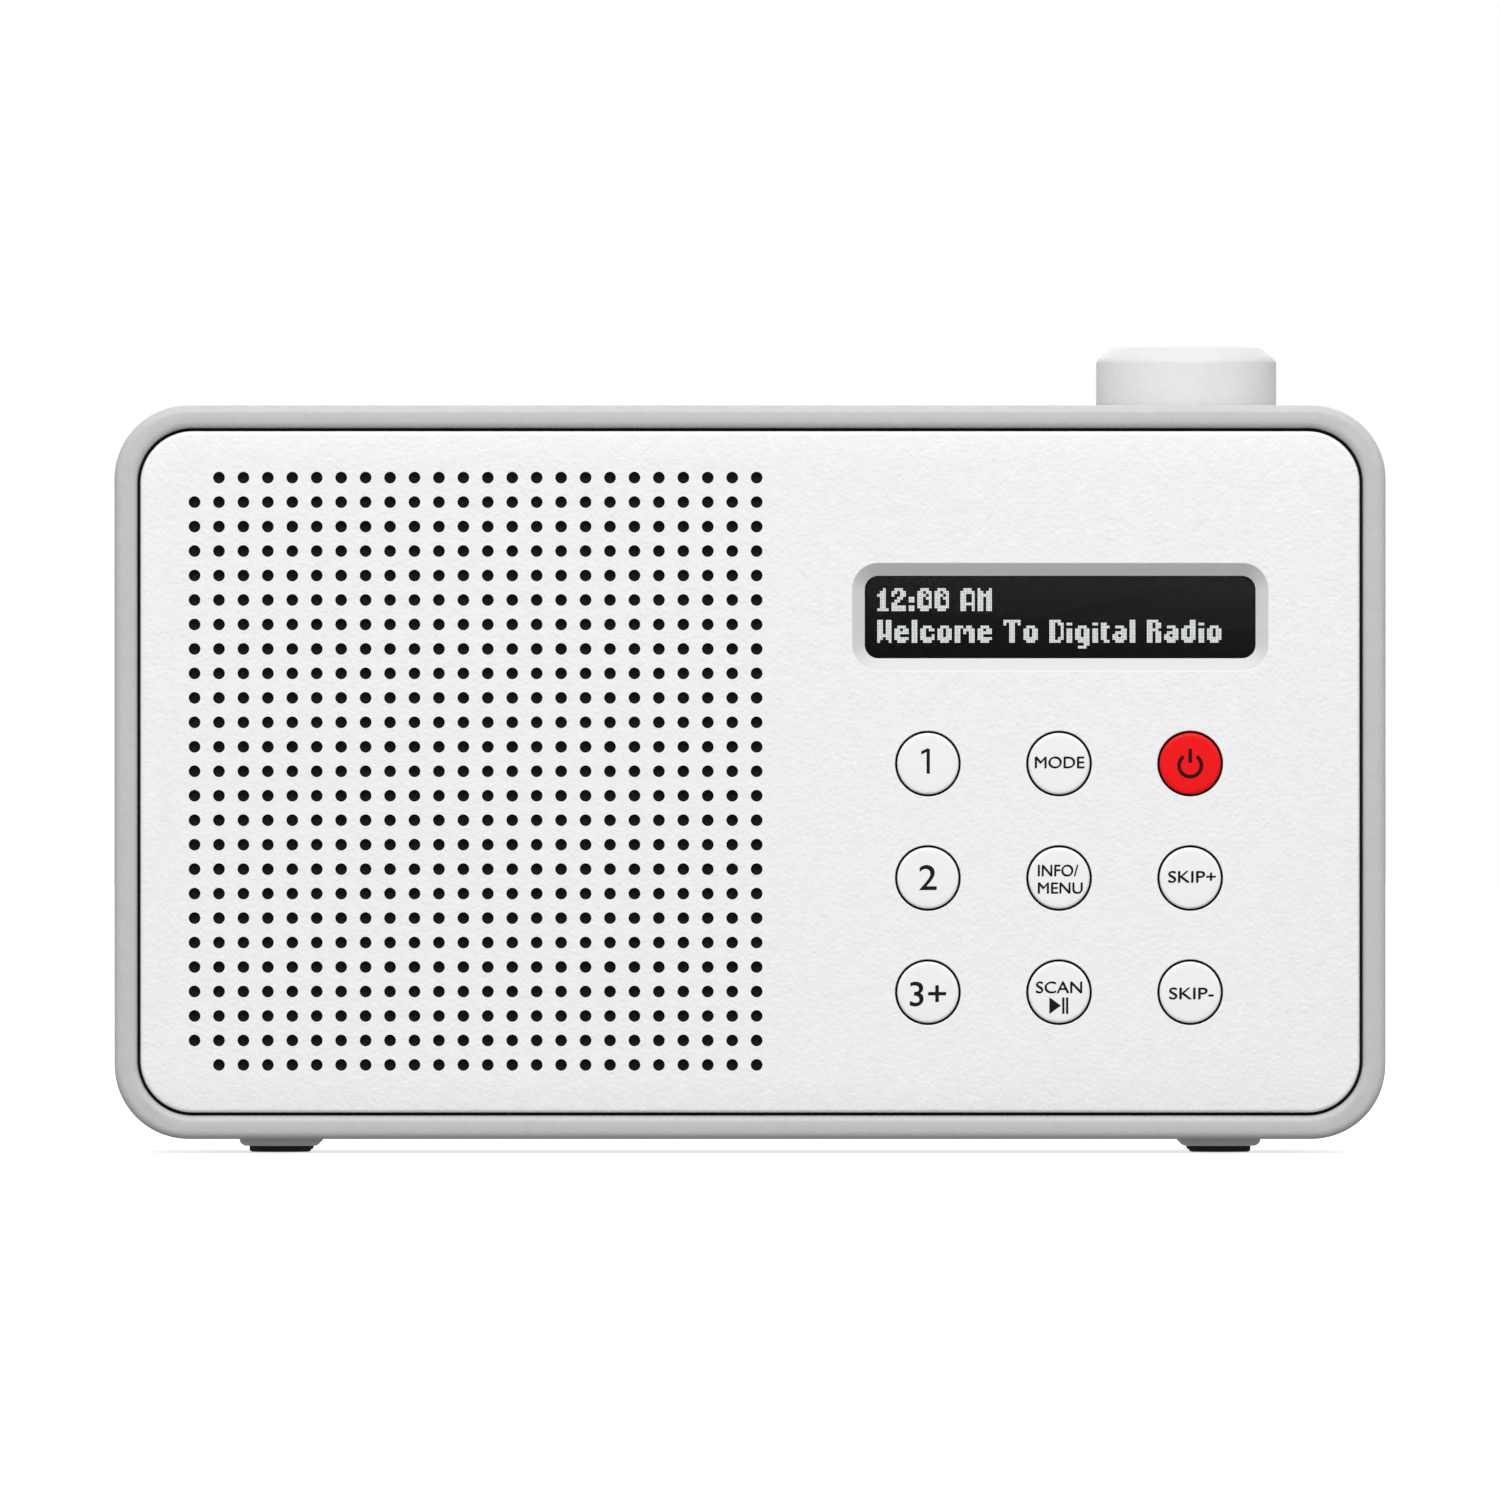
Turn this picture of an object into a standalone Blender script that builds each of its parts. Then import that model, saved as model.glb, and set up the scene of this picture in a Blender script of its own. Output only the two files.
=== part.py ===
"""Tabletop digital radio, modelled piece by piece in metres.

The front faces -Y, +X is to the right of someone facing the radio, and Z = 0 is the
surface that the rubber feet stand on. X = 0 and Y = 0 are the middle of the whole object.
"""

from math import cos, pi, radians, sin

import bmesh
import bpy
from mathutils import Matrix, Vector

# ---- Driving dimensions ------------------------------------------------------------

GAP = 0.0003                 # assembly gap between neighbouring pieces
BITE = 0.0005                # how deep a joined detail runs into its piece
HALF_DEPTH = 0.0340          # button faces to the back of the folded antenna, halved

BODY_WIDTH = 0.2094
BODY_HEIGHT = 0.1209
BODY_BOTTOM = 0.0022         # height that the feet hold the cabinet at
CORNER = 0.0122              # outer corner radius of the cabinet
WALL = 0.0026
EDGE_ROUND = 0.0013          # rounded front edge of the cabinet
BUTTON_PROUD = 0.0003        # how far the button caps stand out of the panel

PANEL_WIDTH = 0.2008
PANEL_HEIGHT = 0.1122
PANEL_CORNER = 0.0086
PANEL_THICK = 0.0030
PANEL_GAP = 0.00045          # shadow gap between panel and cabinet rim
PANEL_Z = 0.0627             # middle of the panel
LEDGE_THICK = 0.0020         # shelf inside the cabinet that the panel rests on
LEDGE_WIDTH = 0.0031

HOOK_COLUMNS = (-0.0640, 0.0, 0.0640)
HOOK_HALF = 0.0040           # half the width of a snap hook
HOOK_SETBACK = 0.0006        # from the ledge's inner edge to the hook's arm
HOOK_ARM = 0.0012            # thickness of the arm
HOOK_REACH = 0.0011          # how far the nose goes behind the ledge
HOOK_NOSE = 0.0016           # length of the nose along the arm

SLEEVE_REAR = 0.0240         # rear edge of the cabinet sleeve
COVER_THICK = 0.0032
COVER_ROUND = 0.0016

GRILLE_X = -0.0452           # middle of the grille and of the loudspeaker
GRILLE_Z = 0.0628
GRILLE_POCKET = (0.0955, 0.0995)
GRILLE_THICK = 0.0012        # panel thickness left in front of the cloth
CLOTH_MARGIN = 0.0010        # how much smaller the cloth is than its pocket
CLOTH_THICK = 0.0004
BAFFLE_SIZE = (0.0970, 0.1010)
BAFFLE_THICK = 0.0016
BAFFLE_BOSS = 0.0030         # radius of the baffle's four screw bosses
BAFFLE_PILOT = 0.0013

SPEAKER_SCREW = 0.0340       # screw offset from the loudspeaker's axis, both ways
SPEAKER_BORE = 0.0326        # radius of the opening in the loudspeaker's frame
FLANGE_SIZE = 0.0780         # the flange is square
FLANGE_CORNER = 0.0080
FLANGE_THICK = 0.0020
FLANGE_GAP = 0.0029          # room for the gasket between baffle and flange
FLANGE_HOLE = 0.0016
BASKET_DEPTH = 0.0154
BASKET_SHEET = 0.0013        # thickness of the basket's rear plate
GASKET_RADII = (0.0345, 0.0382)
CONE_SHEET = 0.0010
MAGNET_PLATE = 0.0165        # radius of the magnet's two plates
MAGNET_RADIUS = 0.0200
MAGNET_DEPTH = 0.0118

DISPLAY_X = 0.0511
DISPLAY_Z = 0.0882
DISPLAY_MOUTH = (0.0685, 0.0177)     # recess at the panel's face
DISPLAY_SIGHT = (0.0644, 0.0134)     # opening at the bottom of the recess
DISPLAY_SLOPE = 0.0015               # depth of the sloping part
DISPLAY_LIP = 0.0018                 # depth at which the window begins
DISPLAY_REBATE = (0.0032, 0.0031)    # how much wider the window's seat is than its opening
WINDOW_THICK = 0.0010
MODULE_SIZE = (0.0720, 0.0030, 0.0195)
MODULE_GAP = 0.0004
HOLDER_SIZE = (0.0770, 0.0048, 0.0240)

BUTTON_COLUMNS = (0.0293, 0.0509, 0.0725)
BUTTON_ROWS = (0.06405, 0.0452, 0.0264)
BUTTON_NAMES = (
    ("button_one", "button_mode", "button_power"),
    ("button_two", "button_menu", "button_skip_up"),
    ("button_three", "button_scan", "button_skip_down"),
)
BUTTON_RADIUS = 0.00505
BUTTON_HOLE = 0.00540
BUTTON_TRAVEL = 0.0005
BUTTON_EDGE = 0.0004
BUTTON_FLANGE = (0.0062, 0.0008)     # radius and thickness of the collar behind the panel
BUTTON_STEM = 0.0016
BUTTON_SLACK = 0.0001                # between a pressed stem and its switch

BOARD_THICK = 0.0016
BOARD_MARGIN = 0.0085                # control board beyond the outer buttons' axes
BOARD_TOP_MARGIN = 0.0080
SWITCH_HALF = 0.0030
SWITCH_HEIGHT = 0.0033
SWITCH_PLUNGER = 0.0017
PLUNGER_HEIGHT = 0.0041              # from the board to the tip of a switch's plunger
MAIN_BOARD = (0.0150, 0.0930, 0.0180, 0.1040)        # left, right, bottom, top
MAIN_CHIP = (0.0220, 0.0340, 0.0360, 0.0480, 0.0012)  # and how tall it stands
CAPACITORS = ((0.0400, 0.0480), (0.0520, 0.0600))
CAPACITOR_ROW = (0.0250, 0.0330)
CAPACITOR_HEIGHT = 0.0100
TUNER_SHIELD = (0.0500, 0.0860, 0.0640, 0.0920)
SHIELD_HEIGHT = 0.0040

KNOB_X = 0.0722
KNOB_Y = -0.0030
KNOB_RADIUS = 0.0149
KNOB_TOP = 0.1330
KNOB_CHAMFER = 0.0024
KNOB_WELL = 0.0009           # depth of the round well in the cabinet's top
KNOB_SINK = 0.0003           # how far the knob's skirt reaches into the well
KNOB_CLEARANCE = 0.0006      # between the skirt and the wall of the well
KNOB_WALL = 0.0020
KNOB_HOLLOW = 0.0052         # from the floor of the well to the roof of the knob's hollow
KNOB_BORE = 0.0033
KNOB_ROOF = 0.0022           # thickness of the knob above its shaft
SHAFT_RADIUS = 0.0030
SHAFT_CHAMFER = 0.0004
ENCODER_HALF = 0.0060
ENCODER_HEIGHT = 0.0068
BUSHING_RADIUS = 0.0035
BUSHING_HOLE = 0.0038
BUSHING_HEIGHT = 0.0040      # above the floor of the well
ENCODER_BORE = 0.00325
BORE_DEPTH = 0.0050
NUT_RADIUS = 0.0058
NUT_THICK = 0.0018
NUT_BORE = 0.0037
PLUNGER_RADIUS = 0.0029
PLUNGER_SPAN = (0.0008, 0.0024)      # bottom and top, from the floor of the bore

FOOT_X = 0.0775
FOOT_ROWS = (-0.0215, 0.0130)
FOOT_RADIUS = 0.0051
FOOT_BOSS_TOP = 0.00675
FOOT_BOSS_BOTTOM = 0.0060
FOOT_PAD = 0.0010            # rubber that shows below its boss
FOOT_TOP = 0.0016            # top of the rubber, inside its boss
FOOT_EDGE = 0.0003

SCREW_X = 0.0988
SCREW_ROWS = (0.0160, 0.1000)
POST_RADIUS = 0.0040         # screw posts inside the cabinet
POST_LENGTH = 0.0200
PILOT_RADIUS = 0.0017        # also the clearance hole in the rear cover
PILOT_DEPTH = 0.0140
COUNTERBORE_RADIUS = 0.0032
COUNTERBORE_FLOOR = 0.0014   # cover left under a screw's head

VENT_FIRST = -0.0690
VENT_PITCH = 0.0050
VENT_COUNT = 13
VENT_HALF = 0.0008
VENT_SPAN = (0.0860, 0.0980)
LABEL_X = 0.0450
LABEL_Z = 0.0660
LABEL_SIZE = (0.0458, 0.0258)
LABEL_POCKET = 0.0004        # depth of the pocket
LABEL_SINK = 0.0001          # how far the plate lies under the cover's face
REST_SPAN = (-0.0400, -0.0320)
REST_THICK = 0.0015
REST_LIP = 0.0040            # height of the lip that holds the folded antenna

DOOR_X = -0.0390
DOOR_Z = 0.0490
DOOR_SIZE = (0.0606, 0.0580)
DOOR_THICK = 0.0020
BAY_SIZE = (0.0596, 0.0574)
BAY_DEPTH = 0.0152
BAY_SKIN = 0.0014
BAY_RIB = (0.0005, 0.0015, 0.0190)   # half-width, height and half-length
DOOR_CORNER = 0.0015
DOOR_TAB_X = 0.0180
DOOR_TAB_HALF = 0.0040
DOOR_TAB_LENGTH = 0.0026
DOOR_TAB_TOP = 0.0016
DOOR_LATCH_HALF = 0.0060
DOOR_LATCH_LENGTH = 0.0020
DOOR_LATCH_SPAN = (0.0022, 0.0010)   # bottom and top, below the head of the door
NOTCH_RADIUS = 0.0050
NOTCH_DROP = 0.0060
NOTCH_DEPTH = 0.0010
CONTACT_HALF = 0.0045
CONTACT_SPAN = (0.0025, 0.0125)      # from the floor of the bay
CONTACT_THICK = 0.0005
SPRING_RADII = (0.0036, 0.0022)
SPRING_LENGTH = 0.0032
CELL_PITCH = 0.0145

DC_JACK_X = 0.0820
AUX_JACK_X = 0.0600
JACK_Z = 0.0300
DC_NOSE = 0.0040
AUX_NOSE = 0.0029
DC_BORE = 0.0030
AUX_BORE = 0.0018
DC_HALF = (0.0047, 0.0055)   # half-width and half-height of the power inlet's body
AUX_HALF = (0.0036, 0.0036)
BORE_LENGTH = 0.0095
DC_PIN = 0.0010
PIN_SETBACK = 0.0010

ANTENNA_X = 0.0780           # swivel axis
ANTENNA_Z = 0.1125
ANTENNA_Y = 0.0313           # middle of the folded mast
ANTENNA_TUBES = ((0.00260, 0.00220), (0.00200, 0.00170), (0.00150, 0.00120))
ANTENNA_ROD = 0.0010
ANTENNA_TUBE_LENGTH = 0.1280
ANTENNA_STEP = 0.0040        # how much each section shows when the antenna is closed
ANTENNA_TIP = 0.0060
TIP_RADII = (0.0018, 0.0024)
TIP_EDGE = 0.0006
SWIVEL_DISC = (0.0056, 0.0007)       # radius and thickness
SWIVEL_EDGE = 0.0003
SWIVEL_NECK = 0.0030
SWIVEL_FLANGE = (0.0048, 0.0012)     # radius and thickness, inside the cover
EAR_SPAN = (0.0013, 0.0030)          # inner and outer faces of an ear, from the axis
EAR_HALF = 0.0024
PIN_RADIUS = 0.0009
PIN_HOLE = 0.0011
PIN_REACH = 0.0050                   # length of a hole's cutter, each way
COLLAR_SETBACK = 0.0040
COLLAR_LENGTH = 0.0020
TONGUE_HALF = 0.0018
TONGUE_THICK = 0.0010
SECTION_SETBACK = 0.0010             # each section's end inside the one around it

# ---- Worked-out places ---------------------------------------------------------------

BODY_TOP = BODY_BOTTOM + BODY_HEIGHT
BODY_Z = BODY_BOTTOM + BODY_HEIGHT / 2
FACE = -HALF_DEPTH + BUTTON_PROUD            # face of the panel and of the rim
PANEL_BACK = FACE + PANEL_THICK
LEDGE_FRONT = PANEL_BACK + GAP
LEDGE_BACK = LEDGE_FRONT + LEDGE_THICK
COVER_FRONT = SLEEVE_REAR + GAP
COVER_BACK = COVER_FRONT + COVER_THICK
WELL_FLOOR = BODY_TOP - KNOB_WELL
CEILING = BODY_TOP - WALL
BAFFLE_FRONT = PANEL_BACK + GAP
BAFFLE_BACK = BAFFLE_FRONT + BAFFLE_THICK
FLANGE_FRONT = BAFFLE_BACK + FLANGE_GAP
FLANGE_BACK = FLANGE_FRONT + FLANGE_THICK
BOARD_FRONT = FACE + 0.0119                  # control board
MAIN_FRONT = 0.0110                          # main board
MAIN_BACK = MAIN_FRONT + BOARD_THICK
BOARD_BACK = BOARD_FRONT + BOARD_THICK

FINISHES = {                                 # colour, roughness, metallic
    "cabinet_grey": ((0.50, 0.50, 0.51), 0.45, 0.0),
    "panel_white": ((0.84, 0.85, 0.87), 0.40, 0.0),
    "button_white": ((0.85, 0.86, 0.87), 0.35, 0.0),
    "power_red": ((0.80, 0.02, 0.03), 0.35, 0.0),
    "knob_white": ((0.74, 0.75, 0.75), 0.40, 0.0),
    "window_smoke": ((0.02, 0.02, 0.02), 0.10, 0.0),
    "display_glass": ((0.02, 0.02, 0.03), 0.15, 0.0),
    "black_plastic": ((0.03, 0.03, 0.03), 0.50, 0.0),
    "rubber": ((0.02, 0.02, 0.02), 0.80, 0.0),
    "cloth": ((0.02, 0.02, 0.02), 0.95, 0.0),
    "foam": ((0.06, 0.06, 0.06), 1.00, 0.0),
    "steel": ((0.55, 0.55, 0.57), 0.35, 1.0),
    "chrome": ((0.80, 0.80, 0.82), 0.12, 1.0),
    "nickel": ((0.70, 0.67, 0.60), 0.30, 1.0),
    "ferrite": ((0.05, 0.05, 0.06), 0.60, 0.0),
    "cone_paper": ((0.08, 0.08, 0.08), 0.90, 0.0),
    "circuit_board": ((0.02, 0.16, 0.06), 0.45, 0.0),
    "grey_wire": ((0.35, 0.35, 0.36), 0.55, 0.0),
    "label": ((0.62, 0.62, 0.64), 0.45, 0.0),
}


# ---- Scene and objects ---------------------------------------------------------------

def clear_scene():
    for old in list(bpy.data.objects):
        bpy.data.objects.remove(old, do_unlink=True)


def collection(name):
    made = bpy.data.collections.new(name)
    bpy.context.scene.collection.children.link(made)
    return made


clear_scene()
PARTS = collection("tabletop_radio")
CUTTERS = collection("cutters")


def finish(name):
    """The material of this name, made on first use."""
    if name in bpy.data.materials:
        return bpy.data.materials[name]
    color, roughness, metallic = FINISHES[name]
    made = bpy.data.materials.new(name)
    made.use_nodes = True
    made.diffuse_color = (*color, 1.0)
    shader = made.node_tree.nodes["Principled BSDF"]
    shader.inputs["Base Color"].default_value = (*color, 1.0)
    shader.inputs["Roughness"].default_value = roughness
    shader.inputs["Metallic"].default_value = metallic
    return made


def pivot(name, place, parent=None):
    """An empty on a joint's axis, or at the foot of the whole object."""
    made = bpy.data.objects.new(name, None)
    made.empty_display_size = 0.01
    made.location = place
    PARTS.objects.link(made)
    if parent:
        hang(made, parent)
    return made


def hang(obj, parent):
    """Parents obj where it is."""
    bpy.context.view_layer.update()
    obj.parent = parent
    obj.matrix_parent_inverse = parent.matrix_world.inverted()


def piece(name, mesh, place, finish_name, parent):
    """One sub-part of the radio."""
    made = bpy.data.objects.new(name, mesh)
    made.location = place
    mesh.materials.append(finish(finish_name))
    PARTS.objects.link(made)
    hang(made, parent)
    return made


def tool(name, mesh, place=(0, 0, 0)):
    """A helper solid that is cut from or joined to a sub-part."""
    made = bpy.data.objects.new(name, mesh)
    made.location = place
    made.hide_render = True
    made.display_type = "WIRE"
    CUTTERS.objects.link(made)
    return made


def combine(target, helper, operation):
    """Adds a live Boolean of helper to target."""
    step = target.modifiers.new(operation.lower() + " " + helper.name, "BOOLEAN")
    step.operation = operation
    step.solver = "EXACT"
    step.object = helper


def cut(target, helper):
    combine(target, helper, "DIFFERENCE")


def join(target, helper):
    combine(target, helper, "UNION")


# ---- Meshes --------------------------------------------------------------------------

AXES = {"X": Vector((1, 0, 0)), "Y": Vector((0, 1, 0)), "Z": Vector((0, 0, 1))}


def to_mesh(name, bm, smooth=False):
    bmesh.ops.recalc_face_normals(bm, faces=bm.faces)
    mesh = bpy.data.meshes.new(name)
    bm.to_mesh(mesh)
    bm.free()
    if smooth:
        mesh.shade_smooth()
        mesh.set_sharp_from_angle(angle=radians(35))
    return mesh


def round_edges(bm, axis, radius, segments):
    """Rounds the edges of bm that run along axis."""
    along = [
        edge
        for edge in bm.edges
        if abs((edge.verts[1].co - edge.verts[0].co).normalized().dot(AXES[axis])) > 0.999
    ]
    bmesh.ops.bevel(bm, geom=along, offset=radius, segments=segments, profile=0.5, affect="EDGES")


def round_rim(bm, level, radius, segments):
    """Rounds the loop of edges at y = level, the front or the back of a block."""
    loop = [
        edge for edge in bm.edges if all(abs(vert.co.y - level) < 1e-6 for vert in edge.verts)
    ]
    bmesh.ops.bevel(bm, geom=loop, offset=radius, segments=segments, profile=0.5, affect="EDGES")


def block(name, size, corner=0.0, axis="Y", segments=5, front=0.0, back=0.0):
    """A box about its own middle, with the edges along axis rounded."""
    bm = bmesh.new()
    bmesh.ops.create_cube(bm, size=1.0)
    bmesh.ops.scale(bm, vec=size, verts=bm.verts)
    if corner:
        round_edges(bm, axis, corner, segments)
    if front:
        round_rim(bm, -size[1] / 2, front, 3)
    if back:
        round_rim(bm, size[1] / 2, back, 3)
    return to_mesh(name, bm, smooth=bool(corner))


def between(low, high):
    """Size and middle of the box between two corners."""
    size = tuple(b - a for a, b in zip(low, high))
    middle = tuple((a + b) / 2 for a, b in zip(low, high))
    return size, middle


def box_piece(name, low, high, finish_name, parent, **rounding):
    size, middle = between(low, high)
    return piece(name, block(name, size, **rounding), middle, finish_name, parent)


def box_tool(name, low, high, **rounding):
    size, middle = between(low, high)
    return tool(name, block(name, size, **rounding), middle)


def boxes(name, corners):
    """One helper mesh of several separate boxes, each given by its two corners."""
    bm = bmesh.new()
    for low, high in corners:
        size, middle = between(low, high)
        made = bmesh.ops.create_cube(bm, size=1.0)["verts"]
        bmesh.ops.scale(bm, vec=size, verts=made)
        bmesh.ops.translate(bm, vec=middle, verts=made)
    return tool(name, to_mesh(name, bm))


def rods(name, runs, sides=16):
    """One helper mesh of several cylinders or cones: (start, end, radius, end radius)."""
    bm = bmesh.new()
    for start, end, radius, end_radius in runs:
        add_rod(bm, start, end, radius, end_radius, sides)
    return tool(name, to_mesh(name, bm))


def add_rod(bm, start, end, radius, end_radius, sides):
    start, end = Vector(start), Vector(end)
    turn = (end - start).to_track_quat("Z", "Y").to_matrix().to_4x4()
    bmesh.ops.create_cone(
        bm, cap_ends=True, segments=sides, radius1=radius, radius2=end_radius,
        depth=(end - start).length, matrix=Matrix.Translation((start + end) / 2) @ turn,
    )


def rod_mesh(name, length, radius, axis="Z", sides=16, end_radius=None):
    """A cylinder or cone about its own middle, along one of the axes."""
    bm = bmesh.new()
    half = AXES[axis] * (length / 2)
    add_rod(bm, -half, half, radius, radius if end_radius is None else end_radius, sides)
    return to_mesh(name, bm, smooth=True)


def turned(name, profile, place, axis, finish_name, parent, steps=24, ring=False):
    """A turned piece. profile is (radius, distance along axis), from its far end down
    the outer side to its near end. A ring closes on itself and has a bore."""
    bm = bmesh.new()
    points = [bm.verts.new((radius, 0, along)) for radius, along in profile]
    for first, second in zip(points, points[1:] + points[:1] if ring else points[1:]):
        bm.edges.new((first, second))
    mesh = bpy.data.meshes.new(name)
    bm.to_mesh(mesh)
    bm.free()
    made = piece(name, mesh, place, finish_name, parent)
    if axis != "Z":
        made.rotation_euler = AXES[axis].to_track_quat("Z", "Y").to_euler()
    lathe = made.modifiers.new("lathe", "SCREW")
    lathe.axis = "Z"
    lathe.steps = lathe.render_steps = steps
    lathe.use_merge_vertices = True
    lathe.merge_threshold = 0.00001
    lathe.use_smooth_shade = False
    return made


def quarter(radius, level, size, steps):
    """Points of a rounded edge that turns from a flat end at level down to a side."""
    middle_radius, middle_level = radius - size, level - size
    turns = [pi / 2 * (1 - step / steps) for step in range(steps + 1)]
    return [(middle_radius + size * cos(a), middle_level + size * sin(a)) for a in turns]


def panel_place(width, height, x, z, front, back):
    """Low and high corners of a flat block given by its middle and its two faces."""
    return (x - width / 2, front, z - height / 2), (x + width / 2, back, z + height / 2)


# ---- Cabinet, panel and grille --------------------------------------------------------

def make_cabinet(root):
    """The grey sleeve: rim, side walls, foot bosses, screw bosses and knob well."""
    low, high = panel_place(BODY_WIDTH, BODY_HEIGHT, 0, BODY_Z, FACE, SLEEVE_REAR)
    cabinet = box_piece(
        "cabinet", low, high, "cabinet_grey", root, corner=CORNER, segments=8, front=EDGE_ROUND
    )
    bosses = [
        ((x, y, BODY_BOTTOM + WALL / 2), (x, y, FOOT_PAD), FOOT_BOSS_TOP, FOOT_BOSS_BOTTOM)
        for x, y in foot_places()
    ]
    join(cabinet, rods("foot_bosses", bosses, sides=24))

    mouth = (PANEL_WIDTH + 2 * PANEL_GAP, PANEL_HEIGHT + 2 * PANEL_GAP)
    cut(cabinet, box_tool(
        "panel_mouth", *panel_place(*mouth, 0, PANEL_Z, FACE - WALL, LEDGE_FRONT),
        corner=PANEL_CORNER + PANEL_GAP, segments=8,
    ))
    ledge = (mouth[0] - 2 * LEDGE_WIDTH, mouth[1] - 2 * LEDGE_WIDTH)
    cut(cabinet, box_tool(
        "ledge_mouth", *panel_place(*ledge, 0, PANEL_Z, LEDGE_FRONT - WALL, LEDGE_BACK + WALL),
        corner=PANEL_CORNER - LEDGE_WIDTH, segments=4,
    ))
    room = (BODY_WIDTH - 2 * WALL, BODY_HEIGHT - 2 * WALL)
    cut(cabinet, box_tool(
        "room", *panel_place(*room, 0, BODY_Z, LEDGE_BACK, SLEEVE_REAR + WALL),
        corner=CORNER - WALL, segments=6,
    ))
    posts = [
        ((x, SLEEVE_REAR, z), (x, SLEEVE_REAR - POST_LENGTH, z), POST_RADIUS, POST_RADIUS)
        for x, z in screw_places()
    ]
    join(cabinet, rods("screw_bosses", posts, sides=12))
    pilots = [
        ((x, SLEEVE_REAR + WALL, z), (x, SLEEVE_REAR - PILOT_DEPTH, z), PILOT_RADIUS, PILOT_RADIUS)
        for x, z in screw_places()
    ]
    cut(cabinet, rods("screw_pilots", pilots, sides=12))
    well = KNOB_RADIUS + KNOB_CLEARANCE
    cut(cabinet, rods("knob_well", [(
        (KNOB_X, KNOB_Y, BODY_TOP + WALL), (KNOB_X, KNOB_Y, WELL_FLOOR), well, well,
    )], sides=40))
    cut(cabinet, rods("bushing_hole", [(
        (KNOB_X, KNOB_Y, BODY_TOP), (KNOB_X, KNOB_Y, CEILING - WALL), BUSHING_HOLE, BUSHING_HOLE,
    )]))
    pockets = [
        ((x, y, 0), (x, y, FOOT_TOP + GAP), FOOT_RADIUS + GAP, FOOT_RADIUS + GAP)
        for x, y in foot_places()
    ]
    cut(cabinet, rods("foot_pockets", pockets, sides=24))


def foot_places():
    return [(side * FOOT_X, y) for y in FOOT_ROWS for side in (-1, 1)]


def screw_places():
    return [(side * SCREW_X, z) for z in SCREW_ROWS for side in (-1, 1)]


def make_feet(root):
    """Rubber pads, each pressed into the pocket of its boss."""
    names = ("front_left", "front_right", "rear_left", "rear_right")
    for name, (x, y) in zip(names, foot_places()):
        profile = [
            (0, FOOT_TOP), (FOOT_RADIUS, FOOT_TOP), (FOOT_RADIUS, FOOT_EDGE),
            (FOOT_RADIUS - FOOT_EDGE, 0), (0, 0),
        ]
        turned("foot_" + name, profile, (x, y, 0), "Z", "rubber", root)


def make_front_panel(root):
    """White front: button holes, display recess, thinned grille field and snap hooks."""
    low, high = panel_place(PANEL_WIDTH, PANEL_HEIGHT, 0, PANEL_Z, FACE, PANEL_BACK)
    panel = box_piece(
        "front_panel", low, high, "panel_white", root, corner=PANEL_CORNER, segments=7,
        front=0.0005,
    )
    half = PANEL_HEIGHT / 2 - LEDGE_WIDTH - PANEL_GAP
    hooks = []
    outside = half - HOOK_SETBACK
    for x in HOOK_COLUMNS:
        left, right = x - HOOK_HALF, x + HOOK_HALF
        for side in (-1, 1):
            inner, outer = sorted((side * outside, side * (outside - HOOK_ARM)))
            tip, heel = sorted((side * (outside - HOOK_ARM / 2), side * (half + HOOK_REACH)))
            hooks.append(((left, PANEL_BACK - BITE, PANEL_Z + inner),
                          (right, LEDGE_BACK + HOOK_NOSE, PANEL_Z + outer)))
            hooks.append(((left, LEDGE_BACK + GAP, PANEL_Z + tip),
                          (right, LEDGE_BACK + HOOK_NOSE - 0.0001, PANEL_Z + heel)))
    for index, (start, end) in enumerate(hooks):
        join(panel, boxes(f"panel_hook_{index}", [(start, end)]))

    holes = [
        ((x, FACE - WALL, z), (x, PANEL_BACK + WALL, z), BUTTON_HOLE, BUTTON_HOLE)
        for z in BUTTON_ROWS for x in BUTTON_COLUMNS
    ]
    cut(panel, rods("button_holes", holes, sides=24))
    cut(panel, box_tool(
        "grille_pocket",
        *panel_place(*GRILLE_POCKET, GRILLE_X, GRILLE_Z, FACE + GRILLE_THICK, PANEL_BACK + WALL),
        corner=0.004, segments=3,
    ))
    cut(panel, tool("display_recess", display_recess(), (DISPLAY_X, FACE, DISPLAY_Z)))
    sight = panel_place(
        *DISPLAY_SIGHT, DISPLAY_X, DISPLAY_Z, FACE + DISPLAY_SLOPE / 2, PANEL_BACK + WALL
    )
    cut(panel, box_tool("display_sight", *sight, corner=0.0021, segments=4))
    rebate = (DISPLAY_SIGHT[0] + DISPLAY_REBATE[0], DISPLAY_SIGHT[1] + DISPLAY_REBATE[1])
    cut(panel, box_tool(
        "display_rebate",
        *panel_place(*rebate, DISPLAY_X, DISPLAY_Z, FACE + DISPLAY_LIP, PANEL_BACK + WALL),
        corner=0.0030, segments=3,
    ))


def display_recess():
    """A shallow tray that narrows from the mouth of the display recess to its window."""
    bm = bmesh.new()
    bmesh.ops.create_cube(bm, size=1.0)
    bmesh.ops.scale(bm, vec=(DISPLAY_MOUTH[0], 2 * DISPLAY_SLOPE, DISPLAY_MOUTH[1]), verts=bm.verts)
    round_edges(bm, "Y", 0.0043, 5)
    shrink = (DISPLAY_SIGHT[0] / DISPLAY_MOUTH[0], 1, DISPLAY_SIGHT[1] / DISPLAY_MOUTH[1])
    swell = tuple(2 - factor for factor in shrink)
    bmesh.ops.scale(bm, vec=shrink, verts=[vert for vert in bm.verts if vert.co.y > 0])
    bmesh.ops.scale(bm, vec=swell, verts=[vert for vert in bm.verts if vert.co.y < 0])
    return to_mesh("display_recess", bm)


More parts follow.
